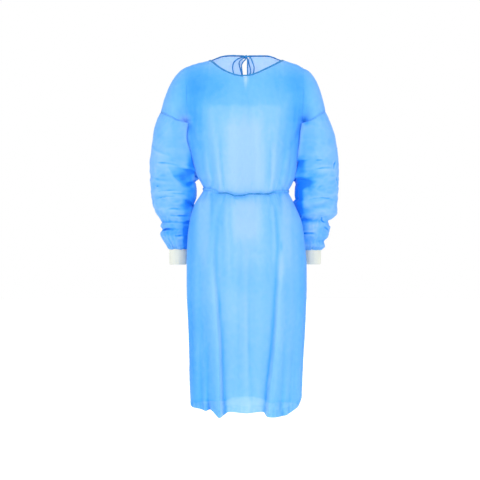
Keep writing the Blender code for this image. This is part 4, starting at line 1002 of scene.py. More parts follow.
def body_wrinkles(cloth, face, seed):
    """Displacement of a body panel along its normal, in mm."""
    p, flat = cloth.p, cloth.f
    x, z = p[:, 0], p[:, 2]
    u, v = flat[:, 0], flat[:, 1]
    angle, zone = cloth.at[:, 0], cloth.at[:, 1]
    belt = belt_z(face, np.clip(np.sin(np.radians(np.clip(angle, -90, 90))), -1, 1) * 143.0)
    above = z - belt
    side = smooth((np.abs(angle) - 56.0) / 26.0)            # 1 next to a sleeve
    sleeve_near = side * smooth((z + 640.0) / 60.0) * smooth((-150.0 - z) / 60.0)
    calm = 1.0 - 0.75 * sleeve_near
    out = np.zeros(len(p))
    for c in BODY_CREASES[face]:
        path = line_points((c.x0, c.z0), (c.x1, c.z1), c.bow)
        at_belt = face == FRONT and min(abs(c.z0 + 446.0), 99.0) < 24.0
        height = c.height * (0.45 if at_belt else 1.0)
        out += crease_offset(x, z, path, c.width, height, c.start, c.kind) * np.where(zone < 2, 1.0, 0.5)
    # gathers drawn in by the waist tie
    reach = np.where(above > 0, 34.0, 46.0)
    gather = np.exp(-(np.abs(above) / reach) ** 1.3)
    pleat = noise(u / 8.5, z / 150.0, 0.0, seed + 1) * 0.9 + noise(u / 4.6, z / 110.0, 3.0, seed + 2) * 0.4
    pull = 0.9 if face == FRONT else 1.6
    out += gather * pleat * pull * (0.35 + 0.65 * smooth((np.abs(x) - 20.0) / 70.0)) * calm
    # soft upright waves of the skirt and smaller ones on the chest
    skirt = smooth((-470.0 - z) / 240.0)
    out += skirt * (noise(u / 52.0, z / 420.0, 0.0, seed + 3) * 2.4 + noise(u / 27.0, z / 240.0, 1.0, seed + 4) * 0.6)
    chest = smooth((z + 440.0) / 40.0) * smooth((-110.0 - z) / 90.0)
    out += chest * (noise(u / 30.0, z / 170.0, 0.0, seed + 5) * 1.6) * calm
    # cloth that was folded in a packet: faint crumpling all over
    out += crumple(x / 46.0, p[:, 1] / 46.0, z / 60.0, seed + 6) * 0.55 * calm
    out += noise(x / 15.0, p[:, 1] / 15.0, z / 19.0, seed + 7) * 0.28 * calm
    # loose edge of the hem
    low = smooth((-1120.0 - z) / 50.0)
    out += low * noise(u / 13.0, z / 60.0, 0.0, seed + 8) * 1.3
    # drop shoulders: a few soft folds that run down from the seam
    wing = np.where(zone >= 2, 1.0, 0.0)
    out += wing * noise(u / 20.0, v / 60.0, 0.0, seed + 9) * 1.2 * smooth((v - 30.0) / 60.0)
    # the seams draw in and pucker
    out += -(0.8 - 0.5 * sleeve_near) * np.exp(-(cloth.seam / 2.8) ** 2)
    out += 0.55 * np.exp(-(cloth.seam / 9.0) ** 2) * noise(cloth.run / 7.5, cloth.seam / 20.0, 0.0, seed + 10) * calm
    return out


def patch_tone(x, z, patches):
    """Soft spots of deeper or paler colour, partly painted shade and painted highlight; a smaller edge gives a squarer
    spot with a crisper outline.
    """
    total = np.zeros_like(x)
    for q in patches:
        power = 2.0 / q.edge
        r = np.abs((x - q.x) / q.across) ** power + np.abs((z - q.z) / q.along) ** power
        total += q.tone * np.exp(-r ** 1.2 * 0.9)
    return total


Side = namedtuple("Side", "z x deeper soft")
# where the front of the skirt laps over itself: the cloth beside the line lies double and is deeper
LAPS = {
    LEFT: [Side(-450, -104, 0.00, 8), Side(-560, -112, 0.04, 8), Side(-760, -104, 0.16, 7), Side(-880, -90, 0.30, 2.4),
           Side(-1000, -86, 0.36, 1.4), Side(-1190, -85, 0.42, 1.2)],
    RIGHT: [Side(-450, 92, 0.00, 8), Side(-600, 98, 0.10, 6), Side(-760, 92, 0.20, 3), Side(-900, 88, 0.24, 1.6),
            Side(-1050, 78, 0.30, 1.3), Side(-1120, 62, 0.34, 1.2), Side(-1190, 60, 0.38, 1.2)],
}


def lap_tone(x, z):
    total = np.zeros_like(x)
    for sgn, rows in LAPS.items():
        beyond = (x - track(rows, "z", "x", z)) * sgn
        soft = track(rows, "z", "soft", z)
        total += track(rows, "z", "deeper", z) * smooth(beyond / (2 * soft) + 0.5)
    return total


def chest_painted_light(x, z):
    """The chest, where the cloth is drawn flat, is painted paler: painted light for light showing through the thin
    cloth; the cloth above it hangs double by the neck.
    """
    x = x + noise(x / 34.0, z / 34.0, 0.0, 501) * 7.0
    z = z + noise(x / 30.0, z / 30.0, 0.0, 502) * 5.0
    outer = smooth((x + 150.0) / 34.0) * smooth((134.0 - x) / 34.0)
    inner = smooth((x + 104.0) / 14.0) * smooth((96.0 - x) / 14.0)
    down = smooth((-154.0 - z) / 16.0) * smooth((z + 456.0) / 16.0)
    return -(0.34 * outer + 0.16 * inner * smooth((-190.0 - z) / 50.0)) * down


def body_tone(cloth, face, p):
    x, z = p[:, 0], p[:, 2]
    # painted shade and painted highlight spots, with spots where the cloth lies double
    tone = patch_tone(x, z, BODY_LAYERS_AND_SHADE[face])
    if face == FRONT:
        # the lapped cloth lies double and is deeper; the chest gets its painted light
        tone += lap_tone(x, z) + chest_painted_light(x, z)
    # the turned-up hem lies double
    lift = z - hem_z(face, cloth.at[:, 0])
    tone += 0.14 * smooth((26.0 - lift) / 1.5) + 0.30 * smooth((-1118.0 - z) / 14.0) * smooth((np.abs(x) - 60.0) / 10.0) * (
        1.0 - 0.7 * smooth((np.abs(x) - 126.0) / 30.0))
    # painted shade: hollows are coloured deeper by how far they lie below their surroundings, and rises a little paler
    fine, wide = cavity(cloth, p, 10), cavity(cloth, p, 60)
    fine = fine * (1.0 - 0.75 * np.exp(-(cloth.seam / 7.0) ** 2))
    wide = wide * (1.0 - 0.7 * np.exp(-(cloth.seam / 16.0) ** 2))
    tone += np.clip(fine * 0.24, -0.2, 0.5) + np.clip(wide * 0.022, -0.15, 0.3)
    tone += 0.03 * np.exp(-(cloth.seam / 5.0) ** 2)
    return tone


def seam_data(cloth, chains):
    points = np.concatenate([cloth.p[c] for c in chains])
    step = np.linalg.norm(np.diff(points, axis=0), axis=1)
    step[step > 40] = 0
    run = np.concatenate([[0.0], np.cumsum(step)])
    distance, number = seam_distance(cloth.p, points)
    cloth.seam = distance
    cloth.run = run[number.astype(int)]


def even_armpit(cloth):
    """Soften the join at armpit height and let the side swell out under the arm."""
    angle = np.abs(cloth.at[:, 0])
    near = np.exp(-((cloth.p[:, 2] - ARMPIT_Z) / 26.0) ** 2) * (1 - 0.6 * smooth((angle - 80) / 10))
    cloth.relax(near, 30)
    out = (1.0 - cloth.at[:, 2]) ** 2
    cloth.p[:, 0] += np.sign(cloth.at[:, 0]) * 4.0 * armpit_swell(cloth.p[:, 2]) * smooth((angle - 50.0) / 36.0) * out


def front_panel():
    cloth = Cloth("front_panel")
    angles = np.linspace(-90.0, 90.0, 181)
    t = np.linspace(0.0, 1.0, BODY_ROWS + 1)[:, None]
    z = lerp(hem_z(FRONT, angles)[None, :], ARMPIT_Z, t)
    low = below_armpit(FRONT, angles[None, :] + 0 * z, z)
    v = np.linspace(0.0, 1.0, YOKE_ROWS + 1)[1:, None]
    high = yoke(FRONT, angles[None, :], v)
    rows = np.concatenate([low, high])
    rows[:, 0, 1] -= SEAM / 2
    rows[:, -1, 1] -= SEAM / 2
    top = np.abs(angles) >= NECK_ANGLE - 0.01
    rows[-1, top, 1] -= SEAM / 2
    up = np.concatenate([z, ARMPIT_Z + v * YOKE_LENGTH + 0 * angles[None, :]])
    flat = np.stack(np.broadcast_arrays(angles[None, :] * DEGREE_MM, up), axis=-1)
    zone = np.concatenate([np.zeros(BODY_ROWS + 1), np.ones(YOKE_ROWS)])[:, None]
    place = np.stack(np.broadcast_arrays(angles[None, :] + 0 * zone, zone, 0 * zone), axis=-1)
    main = cloth.add(rows, flat, place)
    wide = [main[BODY_ROWS:, :]]
    k = np.arange(1, WING_COLUMNS + 1)[None, :]
    vv = np.linspace(0.0, 1.0, YOKE_ROWS + 1)[:, None]
    wings = {}
    for sgn in (LEFT, RIGHT):
        wing = drop_shoulder(FRONT, sgn, vv, k / WING_COLUMNS)
        wing[0, :, 1] -= SEAM / 2
        wing[-1, :, 1] -= SEAM / 2
        flat = np.stack(np.broadcast_arrays(sgn * (90.0 * DEGREE_MM + k * WING_LENGTH / WING_COLUMNS),
                                            ARMPIT_Z + vv * YOKE_LENGTH), axis=-1)
        place = np.stack(np.broadcast_arrays(sgn * 90.0 + 0 * vv, 2.0 + 0 * k, k / WING_COLUMNS + 0 * vv), axis=-1)
        wings[sgn] = cloth.add(wing, flat, place)
    across = np.concatenate([wings[LEFT][:, ::-1], main[BODY_ROWS:, :], wings[RIGHT]], axis=1)
    cloth.faces(main[:BODY_ROWS + 1])
    cloth.faces(across)
    cloth.close()
    left = np.concatenate([main[:BODY_ROWS, 0], across[0, :WING_COLUMNS + 1][::-1]])
    right = np.concatenate([main[:BODY_ROWS, -1], across[0, -WING_COLUMNS - 1:]])
    seam_left, seam_right = across[:, 0], across[:, -1]
    top_left = across[-1, :WING_COLUMNS + 51]
    top_right = across[-1, -WING_COLUMNS - 51:]
    chains = [left, right, seam_left, seam_right, top_left, top_right]
    seam_data(cloth, chains)
    even_armpit(cloth)
    p = cloth.p + cloth.normals() * (0.5 * WALL + body_wrinkles(cloth, FRONT, 11))[:, None]
    tone = body_tone(cloth, FRONT, p)
    fins = [(left, False), (right, True), (seam_left, True), (seam_right, False),
            (top_left, False), (top_right, False)]
    obj = finish_cloth(cloth, p, fins, tone, CLOTH, ["front_panel"])
    return obj


def back_panel(sgn, name):
    cloth = Cloth(name)
    outer = 50                                  # columns from the side to the high shoulder point
    inner = 50
    side = np.linspace(90.0, NECK_ANGLE, outer + 1) * sgn
    t = np.linspace(0.0, 1.0, BODY_ROWS + 1)[:, None]

    def columns(edge):
        s = np.linspace(0.0, 1.0, inner + 1)[1:]
        return np.concatenate([np.broadcast_to(side, (len(edge), outer + 1)),
                               lerp(sgn * NECK_ANGLE, edge[:, None], s[None, :])], axis=1)

    z_mid = lerp(hem_z(BACK, 0.0), ARMPIT_Z, t[:, 0])
    angles = columns(back_edge_angle(sgn, z_mid))
    z = lerp(hem_z(BACK, angles), ARMPIT_Z, t)
    low = below_armpit(BACK, angles, z)
    v = np.linspace(0.0, 1.0, YOKE_ROWS + 1)[1:]
    edge = back_edge_angle(sgn, yoke(BACK, 0.0, v)[:, 2])
    angles_up = columns(edge)
    high = yoke(BACK, angles_up, v[:, None] + 0 * angles_up)
    rows = np.concatenate([low, high])
    if sgn == RIGHT:
        rows[..., 1] += lap_offset(rows[..., 0], rows[..., 2])
    rows[:, 0, 1] += SEAM / 2
    rows[-1, :outer + 1, 1] += SEAM / 2
    all_angles = np.concatenate([angles, angles_up])
    up = np.concatenate([z, ARMPIT_Z + v[:, None] * YOKE_LENGTH + 0 * angles_up])
    flat = np.stack([all_angles * DEGREE_MM, up], axis=-1)
    zone = np.concatenate([np.zeros(BODY_ROWS + 1), np.ones(YOKE_ROWS)])[:, None]
    place = np.stack(np.broadcast_arrays(all_angles, zone, 0 * zone), axis=-1)
    main = cloth.add(rows, flat, place)
    k = np.arange(1, WING_COLUMNS + 1)[None, :]
    vv = np.linspace(0.0, 1.0, YOKE_ROWS + 1)[:, None]
    wing = drop_shoulder(BACK, sgn, vv, k / WING_COLUMNS)
    wing[0, :, 1] += SEAM / 2
    wing[-1, :, 1] += SEAM / 2
    flat = np.stack(np.broadcast_arrays(sgn * (90.0 * DEGREE_MM + k * WING_LENGTH / WING_COLUMNS),
                                        ARMPIT_Z + vv * YOKE_LENGTH), axis=-1)
    place = np.stack(np.broadcast_arrays(sgn * 90.0 + 0 * vv, 2.0 + 0 * k, k / WING_COLUMNS + 0 * vv), axis=-1)
    wing = cloth.add(wing, flat, place)
    across = np.concatenate([wing[:, ::-1], main[BODY_ROWS:, :]], axis=1)
    cloth.faces(main[:BODY_ROWS + 1], flip=(sgn == LEFT))
    cloth.faces(across, flip=(sgn == LEFT))
    cloth.close()
    side_chain = np.concatenate([main[:BODY_ROWS, 0], across[0, :WING_COLUMNS + 1][::-1]])
    arm_chain = across[:, 0]
    top_chain = across[-1, :WING_COLUMNS + outer + 1]
    seam_data(cloth, [side_chain, arm_chain, top_chain])
    even_armpit(cloth)
    bump = body_wrinkles(cloth, BACK, 47)
    p = cloth.p + cloth.normals() * (0.5 * WALL + bump)[:, None]
    tone = body_tone(cloth, BACK, p)
    left = sgn == LEFT
    fins = [(side_chain, left), (arm_chain, not left), (top_chain, left)]
    obj = finish_cloth(cloth, p, fins, tone, CLOTH, [name])
    return obj


# ------------------------------------------------------------------ sleeves
def sleeve(sgn, name):
    cloth = Cloth(name)
    cuff = CUFFS[sgn]
    room = SEAM + WALL
    end = Ring(cuff.x + sgn * (cuff.half_width + room), cuff.seam_z - 1.5,
               cuff.x - sgn * (cuff.half_width + room), cuff.seam_z - 1.5, cuff.y, cuff.half_depth + room)
    rings = SLEEVES[sgn] + [end]
    first = rings[0]
    shift = SEAM * 3.2 / 32.0
    rings[0] = Ring(*(lerp(getattr(first, f), getattr(rings[1], f), shift) for f in Ring._fields))
    Mark = namedtuple("Mark", ("run",) + Ring._fields)
    marks, run = [], 0.0
    for k, ring in enumerate(rings):
        if k:
            before = rings[k - 1]
            run += 0.5 * (math.hypot(ring.x_out - before.x_out, ring.z_out - before.z_out)
                          + math.hypot(ring.x_in - before.x_in, ring.z_in - before.z_in))
        marks.append(Mark(run, *ring))
    columns, rows = 150, 168
    # rows lie closer together towards the cuff, where the cloth is gathered
    s = np.linspace(0.0, 1.0, rows + 1)
    at = run * (1.0 - (1.0 - s) ** 1.15)
    psi = np.linspace(0.0, 360.0, columns + 1)[:-1]
    values = [track(marks, "run", f, at)[:, None] for f in Ring._fields]
    base = ring_form(*values, psi[None, :], sgn)
    girth = 1.1
    flat = np.stack(np.broadcast_arrays(psi[None, :] * girth, -at[:, None]), axis=-1)
    place = np.stack(np.broadcast_arrays(psi[None, :], at[:, None], 0.0 * at[:, None]), axis=-1)
    index = cloth.add(base, flat, place)
    cloth.faces(index, flip=(sgn == RIGHT), wrap=True)
    cloth.close()
    cloth.p = lie_against(sgn, cloth.p, cloth.at[:, 0], cloth.at[:, 1])
    p = cloth.p
    x, z = p[:, 0], p[:, 2]
    psi_all, run_all = cloth.at[:, 0], cloth.at[:, 1]
    f = 0.5 * (1.0 - np.cos(np.radians(psi_all)))
    top, bottom = index[0], index[-1]
    seam_points = p[top]
    distance, number = seam_distance(p, np.concatenate([p[top], p[bottom]]))
    cloth.seam = distance
    cloth.run = number * 2.6

    x_in = track(marks, "z_in", "x_in", z)
    out = np.zeros(len(p))
    for b in SLEEVE_BULGES[sgn]:
        u = z - lerp(b.z_in, b.z_out, f)
        out += np.where(np.abs(u) < b.reach, b.height * np.cos(0.5 * math.pi * np.clip(u / b.reach, -1, 1)) ** 2, 0)
    out *= smooth(f / 0.3) * (1.0 - smooth((f - 0.9) / 0.1))

    def psi_of(x_at, z_at):
        a = float(track(marks, "z_in", "x_in", z_at))
        b = float(track(marks, "z_out", "x_out", z_at))
        g = min(1.0, max(0.0, (x_at - a) / (b - a)))
        return math.degrees(math.acos(1.0 - 2.0 * g))

    def apply(creases, facing, scale=1.0, drop=0.0, mirror=False):
        angle = psi_all if facing == FRONT else 360.0 - psi_all
        angle = np.where(angle > 270.0, angle - 360.0, angle)
        total = np.zeros(len(p))
        for c in creases:
            x0, x1 = (-c.x0, -c.x1) if mirror else (c.x0, c.x1)
            z0, z1 = c.z0 + drop, c.z1 + drop
            a = (psi_of(x0, z0) * girth, z0)
            b = (psi_of(x1, z1) * girth, z1)
            bow = c.bow if sgn == RIGHT else -c.bow
            if mirror:
                bow = -bow
            path = line_points(a, b, bow)
            side = c.kind
            total += crease_offset(angle * girth, z, path, c.width, c.height * scale, c.start, side)
        return total

    creases = apply(SLEEVE_CREASES[sgn], FRONT) + apply(SLEEVE_CREASES[-sgn], BACK, 0.85, -9.0, mirror=True)
    out += creases

    seed = 71 if sgn == LEFT else 93
    inner = smooth(f / 0.22)                 # 0 on the side by the body
    body_side = 1.0 - (1.0 - inner) * 0.7
    # cross wrinkles of the lower arm, finer towards the cuff
    lower = smooth((-300.0 - z) / 120.0)
    wrap_x, wrap_y = np.cos(np.radians(psi_all)), np.sin(np.radians(psi_all))
    wave = noise(wrap_x * 1.7, wrap_y * 1.7, z / 19.0, seed) * 1.7 + noise(wrap_x * 3.0, wrap_y * 3.0, z / 9.5, seed + 1) * 0.8
    out += wave * (0.18 + 0.62 * lower) * body_side
    out += crumple(wrap_x * 1.5, wrap_y * 1.5, z / 40.0, seed + 2) * (0.8 + 0.9 * lower) * body_side
    out += noise(wrap_x * 7.0, wrap_y * 7.0, z / 12.0, seed + 3) * 0.12
    # gathers into the cuff and small ones at the shoulder seam
    length = float(at[-1])
    to_cuff = length - run_all
    gather = np.exp(-(to_cuff / 30.0) ** 1.2)
    pleat = noise(wrap_x * 9.5, wrap_y * 9.5, z / 120.0, seed + 4) + 0.5 * noise(wrap_x * 16.0, wrap_y * 16.0, z / 80.0, seed + 5)
    out += gather * pleat * 2.2 * smooth(to_cuff / 3.0)
    shoulder = np.exp(-(run_all / 16.0) ** 2)
    out += shoulder * noise(wrap_x * 8.0, wrap_y * 8.0, 0.0, seed + 6) * 0.7 * smooth(run_all / 4.0)
    out += -0.7 * np.exp(-(cloth.seam / 2.8) ** 2)
    # under-arm seam along the inner side
    from_seam = np.minimum(psi_all, 360.0 - psi_all) * girth
    out += -0.9 * np.exp(-(from_seam / 2.6) ** 2)
    # the side by the body never comes out further than the form
    room_here = 1.2 + 40.0 * smooth((f - 0.10) / 0.25) + 60.0 * smooth((run_all - 395.0) / 40.0)
    out = np.minimum(out, room_here)
    new = p + cloth.normals() * (0.5 * WALL + out)[:, None]

    # painted shade and painted highlight spots on the sleeve's front; the back gets the other sleeve's front spots
    # mirrored, weaker
    tone = np.where(new[:, 1] < track(marks, "run", "y_mid", run_all) + 8.0,
                    patch_tone(new[:, 0], new[:, 2], SLEEVE_LAYERS_AND_SHADE[sgn]),
                    patch_tone(-new[:, 0], new[:, 2], SLEEVE_LAYERS_AND_SHADE[-sgn]) * 0.7)
    # painted shade: hollows are coloured deeper by how far they lie below their surroundings, and rises a little paler
    fine, wide = cavity(cloth, new, 8), cavity(cloth, new, 50)
    fine = fine * (1.0 - 0.6 * np.exp(-(cloth.seam / 7.0) ** 2))
    wide = wide * (1.0 - 0.6 * np.exp(-(run_all / 26.0) ** 2))
    tone += np.clip(fine * 0.26, -0.2, 0.9) + np.clip(wide * 0.09, -0.3, 0.8)
    # painted shade in the crease troughs and painted highlight on the crease ridges; seams a little deeper
    tone += np.clip(-creases * 0.13, -0.16, 0.8) + 0.03 * np.exp(-(cloth.seam / 5.0) ** 2)
    fins = [(np.concatenate([top, top[:1]]), sgn == LEFT)]
    obj = finish_cloth(cloth, new, fins, tone, CLOTH, [name])
    return obj, new[bottom]


# ------------------------------------------------------------------ closed bands and strips
def sweep(path, frames, section, closed=False, caps=True):
    """Points and quads of a section carried along a path.  section is a function of the step that gives
    an N x 2 array; frames gives the two directions that it is set out in."""
    rings = []
    for k, point in enumerate(path):
        a, b = frames[k]
        s = section(k)
        rings.append(point + s[:, :1] * a + s[:, 1:] * b)
    rings = np.array(rings)
    m, n = rings.shape[:2]
    index = np.arange(m * n).reshape(m, n)
    if closed:
        index = np.concatenate([index, index[:1]], axis=0)
    index = np.concatenate([index, index[:, :1]], axis=1)
    a, b, c, d = index[:-1, :-1], index[:-1, 1:], index[1:, 1:], index[1:, :-1]
    quads = np.stack([a, b, c, d], axis=-1).reshape(-1, 4)
    points = rings.reshape(-1, 3)
    if caps and not closed:
        half = n // 2
        for ring, turn in ((0, 1), (m - 1, -1)):
            row = ring * n + np.arange(n)
            cap = np.array([[row[j], row[j + 1], row[n - 2 - j], row[n - 1 - j]] for j in range(half - 1)])
            quads = np.concatenate([quads, cap[:, ::turn]])
    return points, quads


def facing_out(points, quads):
    """Turn the faces of a closed body so that they point out."""
    a, b, c, d = (points[quads[:, k]] for k in range(4))
    volume = np.einsum("ij,ij->i", a, np.cross(b, c)).sum() + np.einsum("ij,ij->i", a, np.cross(c, d)).sum()
    return quads if volume > 0 else quads[:, ::-1]


def unit(v):
    return v / np.maximum(1e-9, np.linalg.norm(v, axis=-1, keepdims=True))


def rounded(width, height, count=12, power=3.2):
    t = np.linspace(0.0, 2.0 * math.pi, count, endpoint=False) + math.pi / count
    c, s = np.cos(t), np.sin(t)
    r = (np.abs(c) ** power + np.abs(s) ** power) ** (-1.0 / power)
    return np.stack([c * r * width / 2, s * r * height / 2], axis=1)


def spread_points(stations, steps):
    pts = [np.array(s, float) for s in stations]
    ends = [pts[0] * 2 - pts[1]] + pts + [pts[-1] * 2 - pts[-2]]
    fine = []
    for k in range(1, len(ends) - 2):
        a, b, c, d = ends[k - 1:k + 3]
        for m in range(16):
            t = m / 16.0
            fine.append(0.5 * ((2 * b) + (c - a) * t + (2 * a - 5 * b + 4 * c - d) * t * t
                               + (3 * b - a - 3 * c + d) * t ** 3))
    fine = np.array(fine + [pts[-1]])
    run = np.concatenate([[0.0], np.cumsum(np.linalg.norm(np.diff(fine, axis=0), axis=1))])
    want = np.linspace(0.0, run[-1], steps + 1)
    return np.stack([np.interp(want, run, fine[:, k]) for k in range(3)], axis=1)


def along_of(path, closed=False):
    if closed:
        return unit(np.roll(path, -1, axis=0) - np.roll(path, 1, axis=0))
    return unit(np.gradient(path, axis=0))


def band_attributes(points, count, step, across):
    """Run along the band and place across it for each point of a swept section."""
    m = len(points) // count
    run = np.repeat(np.arange(m) * step, count)
    return {"seam_run": run, "seam_mm": np.tile(across, m), "tone": np.zeros(len(points)),
            "flat_mm": np.stack([np.tile(across, m), run, np.zeros(len(points))], axis=1)}


def neck_binding():
    front = yoke(FRONT, np.linspace(-NECK_ANGLE, NECK_ANGLE, 121), 1.0)

    def back_edge(sgn):
        edge = float(back_edge_angle(sgn, yoke(BACK, 0.0, 1.0)[2]))
        return yoke(BACK, np.linspace(sgn * NECK_ANGLE, edge, 61), 1.0)

    points = np.concatenate([back_edge(LEFT)[::-1], front[1:-1], back_edge(RIGHT)])
    length = np.concatenate([[0.0], np.cumsum(np.linalg.norm(np.diff(points, axis=0), axis=1))])
    steps = 340
    want = np.linspace(0.0, length[-1], steps + 1)
    path = np.stack([np.interp(want, length, points[:, k]) for k in range(3)], axis=1)
    for _ in range(3):
        path[1:-1] = (path[:-2] + 2 * path[1:-1] + path[2:]) / 4
    along = along_of(path)
    inward = np.array([0.0, -10.0, 0.0]) - path
    inward -= along * np.einsum("ij,ij->i", inward, along)[:, None]
    inward[:, 2] = 0.0
    inward = unit(inward)
    steep = np.minimum(1.0, np.abs(path[:, 1]) / 55.0)[:, None]
    up = unit(np.array([0.0, 0.0, 1.0]) - along * along[:, 2:3])
    rise = inward * lerp(1.0, 0.55, steep) + up * lerp(0.30, 0.85, steep)
    rise -= along * np.einsum("ij,ij->i", rise, along)[:, None]
    rise = unit(rise)
    normal = unit(np.cross(along, rise))
    out = np.stack([path[:, 0], path[:, 1], np.full(len(path), 60.0)], axis=1)
    normal = np.where((np.einsum("ij,ij->i", normal, out) < 0)[:, None], -normal, normal)
    s = want
    foot = path + normal * (WALL / 2) + rise * (SEAM + 0.5)
    ripple = noise(s / 11.0, 0.0, 0.0, 3) * 0.35 + noise(s / 5.0, 0.0, 0.0, 4) * 0.15
    middle = foot + rise * (BAND * 0.5) + normal * ripple[:, None]
    base = rounded(BAND, BAND_WALL * 0.82, 16, 2.6)
    # at both ends the band runs on, narrower, into the knot
    tie = np.array([KNOT_NECK.x, KNOT_NECK.y, KNOT_NECK.z - 1.5])
    reach = np.linspace(0.12, 0.9, 6)[:, None]
    head = lerp(tie, middle[0], reach)
    tail = lerp(tie, middle[-1], reach)[::-1]
    middle = np.concatenate([head, middle, tail])
    rise = np.concatenate([np.repeat(rise[:1], 6, axis=0), rise, np.repeat(rise[-1:], 6, axis=0)])
    normal = np.concatenate([np.repeat(normal[:1], 6, axis=0), normal, np.repeat(normal[-1:], 6, axis=0)])
    taper = np.concatenate([np.linspace(0.55, 0.95, 6), np.ones(len(s)), np.linspace(0.95, 0.55, 6)])
    s = np.concatenate([np.full(6, s[0]), s, np.full(6, s[-1])])

    def section(k):
        sec = base.copy()
        # pressed along the stitch line, a little fuller on either side of it
        sec[:, 1] *= 1.0 - 0.34 * np.exp(-(sec[:, 0] / 0.9) ** 2)
        sec[:, 0] *= (1.0 + 0.05 * math.sin(s[k] / 4.3)) * taper[k]
        return sec

    frames = list(zip(rise, normal))
    pts, quads = sweep(middle, frames, section)
    attrs = band_attributes(pts, 16, length[-1] / steps, base[:, 0])
    return make_object("neck_binding", pts, facing_out(pts, quads), TAPE, attrs, ["neck_binding"])


def strip(name, path, across, width, wall, seed, curl=0.3):
    """A flat tape with rounded edges that ripples and turns a little along its way."""
    steps = len(path)
    along = along_of(path)
    w = across(np.linspace(0, 1, steps)[:, None], along)
    w = unit(w - along * np.einsum("ij,ij->i", w, along)[:, None])
    n = np.cross(along, w)
    run = np.concatenate([[0.0], np.cumsum(np.linalg.norm(np.diff(path, axis=0), axis=1))])
    turn = noise(run / 34.0, 0.0, 0.0, seed) * curl
    a = w * np.cos(turn)[:, None] + n * np.sin(turn)[:, None]
    b = -w * np.sin(turn)[:, None] + n * np.cos(turn)[:, None]
    base = rounded(width, wall, 12, 3.0)
    squeeze = 1.0 + 0.10 * noise(run / 9.0, 0.0, 0.0, seed + 1)

    def section(k):
        sec = base.copy()
        sec[:, 0] *= squeeze[k]
        sec[:, 1] += 0.16 * wall * (1.0 - (2.0 * sec[:, 0] / width) ** 2) * math.sin(run[k] / 13.0)
        return sec

    pts, quads = sweep(path, list(zip(a, b)), section)
    attrs = band_attributes(pts, 12, float(run[-1]) / max(1, steps - 1), base[:, 0] + 99.0)
    return make_object(name, pts, facing_out(pts, quads), TAPE, attrs, [name])


def knot(name, centre, half, seed):
    """A pulled knot: tape wrapped slantwise round a small core."""
    rows, columns = 26, 40
    theta = np.linspace(0.0, math.pi, rows + 1)[1:-1, None]
    phi = np.linspace(0.0, 2 * math.pi, columns + 1)[None, :-1]
    x, y, z = np.sin(theta) * np.cos(phi), np.sin(theta) * np.sin(phi), np.cos(theta) + 0 * phi
    wrap = np.abs(np.sin(2.2 * (z * 1.6 + x * 0.9 + 0.3)))
    r = 0.86 + 0.14 * wrap ** 0.6 + 0.04 * noise(x * 3, y * 3, z * 3, seed)
    p = np.stack([x * r * half[0], y * r * half[1], z * r * half[2]], axis=-1) + np.array(centre)
    index = np.arange(p.shape[0] * p.shape[1]).reshape(p.shape[:2])
    points = p.reshape(-1, 3)
    wrap_index = np.concatenate([index, index[:, :1]], axis=1)
    a, b, c, d = wrap_index[:-1, :-1], wrap_index[:-1, 1:], wrap_index[1:, 1:], wrap_index[1:, :-1]
    quads = np.stack([a, b, c, d], axis=-1).reshape(-1, 4)
    for row, turn in ((index[0], 1), (index[-1], -1)):
        n = len(row)
        cap = np.array([[row[j], row[j + 1], row[n - 2 - j], row[n - 1 - j]] for j in range(n // 2 - 1)])
        quads = np.concatenate([quads, cap[:, ::turn]])
    attrs = {"tone": np.zeros(len(points)), "seam_mm": np.full(len(points), 99.0), "seam_run": np.zeros(len(points)),
             "flat_mm": points}
    return make_object(name, points, facing_out(points, quads), TAPE, attrs, [name])


def tilted(t, along):
    plane = np.cross(along, np.array([0.0, 1.0, 0.0]))
    return np.array([0.0, 1.0, 0.0]) * 0.6 + plane * 0.8


def upright(t, along):
    return np.cross(along, np.array([0.0, 1.0, 0.0]))


def on_edge(t, along):
    return np.array([0.0, 1.0, 0.0]) * 0.8 + np.cross(along, np.array([0.0, 1.0, 0.0])) * 0.6


def neck_tie():
    for k, (name, stations) in enumerate(NECK_STRIPS.items()):
        steps = 90 if "loop" in name else 60
        strip(name, spread_points(stations, steps), tilted, 5.0, 1.1, 200 + 7 * k)
    knot("neck_knot", KNOT_NECK, (6.2, 4.4, 5.4), 5)


def outward_back(angle, z):
    du = below_armpit(BACK, min(89.0, angle + 1.5), z) - below_armpit(BACK, max(-89.0, angle - 1.5), z)
    dz = below_armpit(BACK, angle, z + 2.0) - below_armpit(BACK, angle, z - 2.0)
    return unit(np.cross(dz, du))


def back_outer(x, z, off):
    w = float(half_width(z, x))
    angle = math.degrees(math.asin(max(-0.99, min(0.99, x / w))))
    p = below_armpit(BACK, angle, z)
    reach = LAP * float(smooth((92.0 - x) / 52.0)) * float(smooth((x + 96.0) / 52.0))
    return p + outward_back(angle, z) * (WALL + off) + np.array([0, reach, 0])


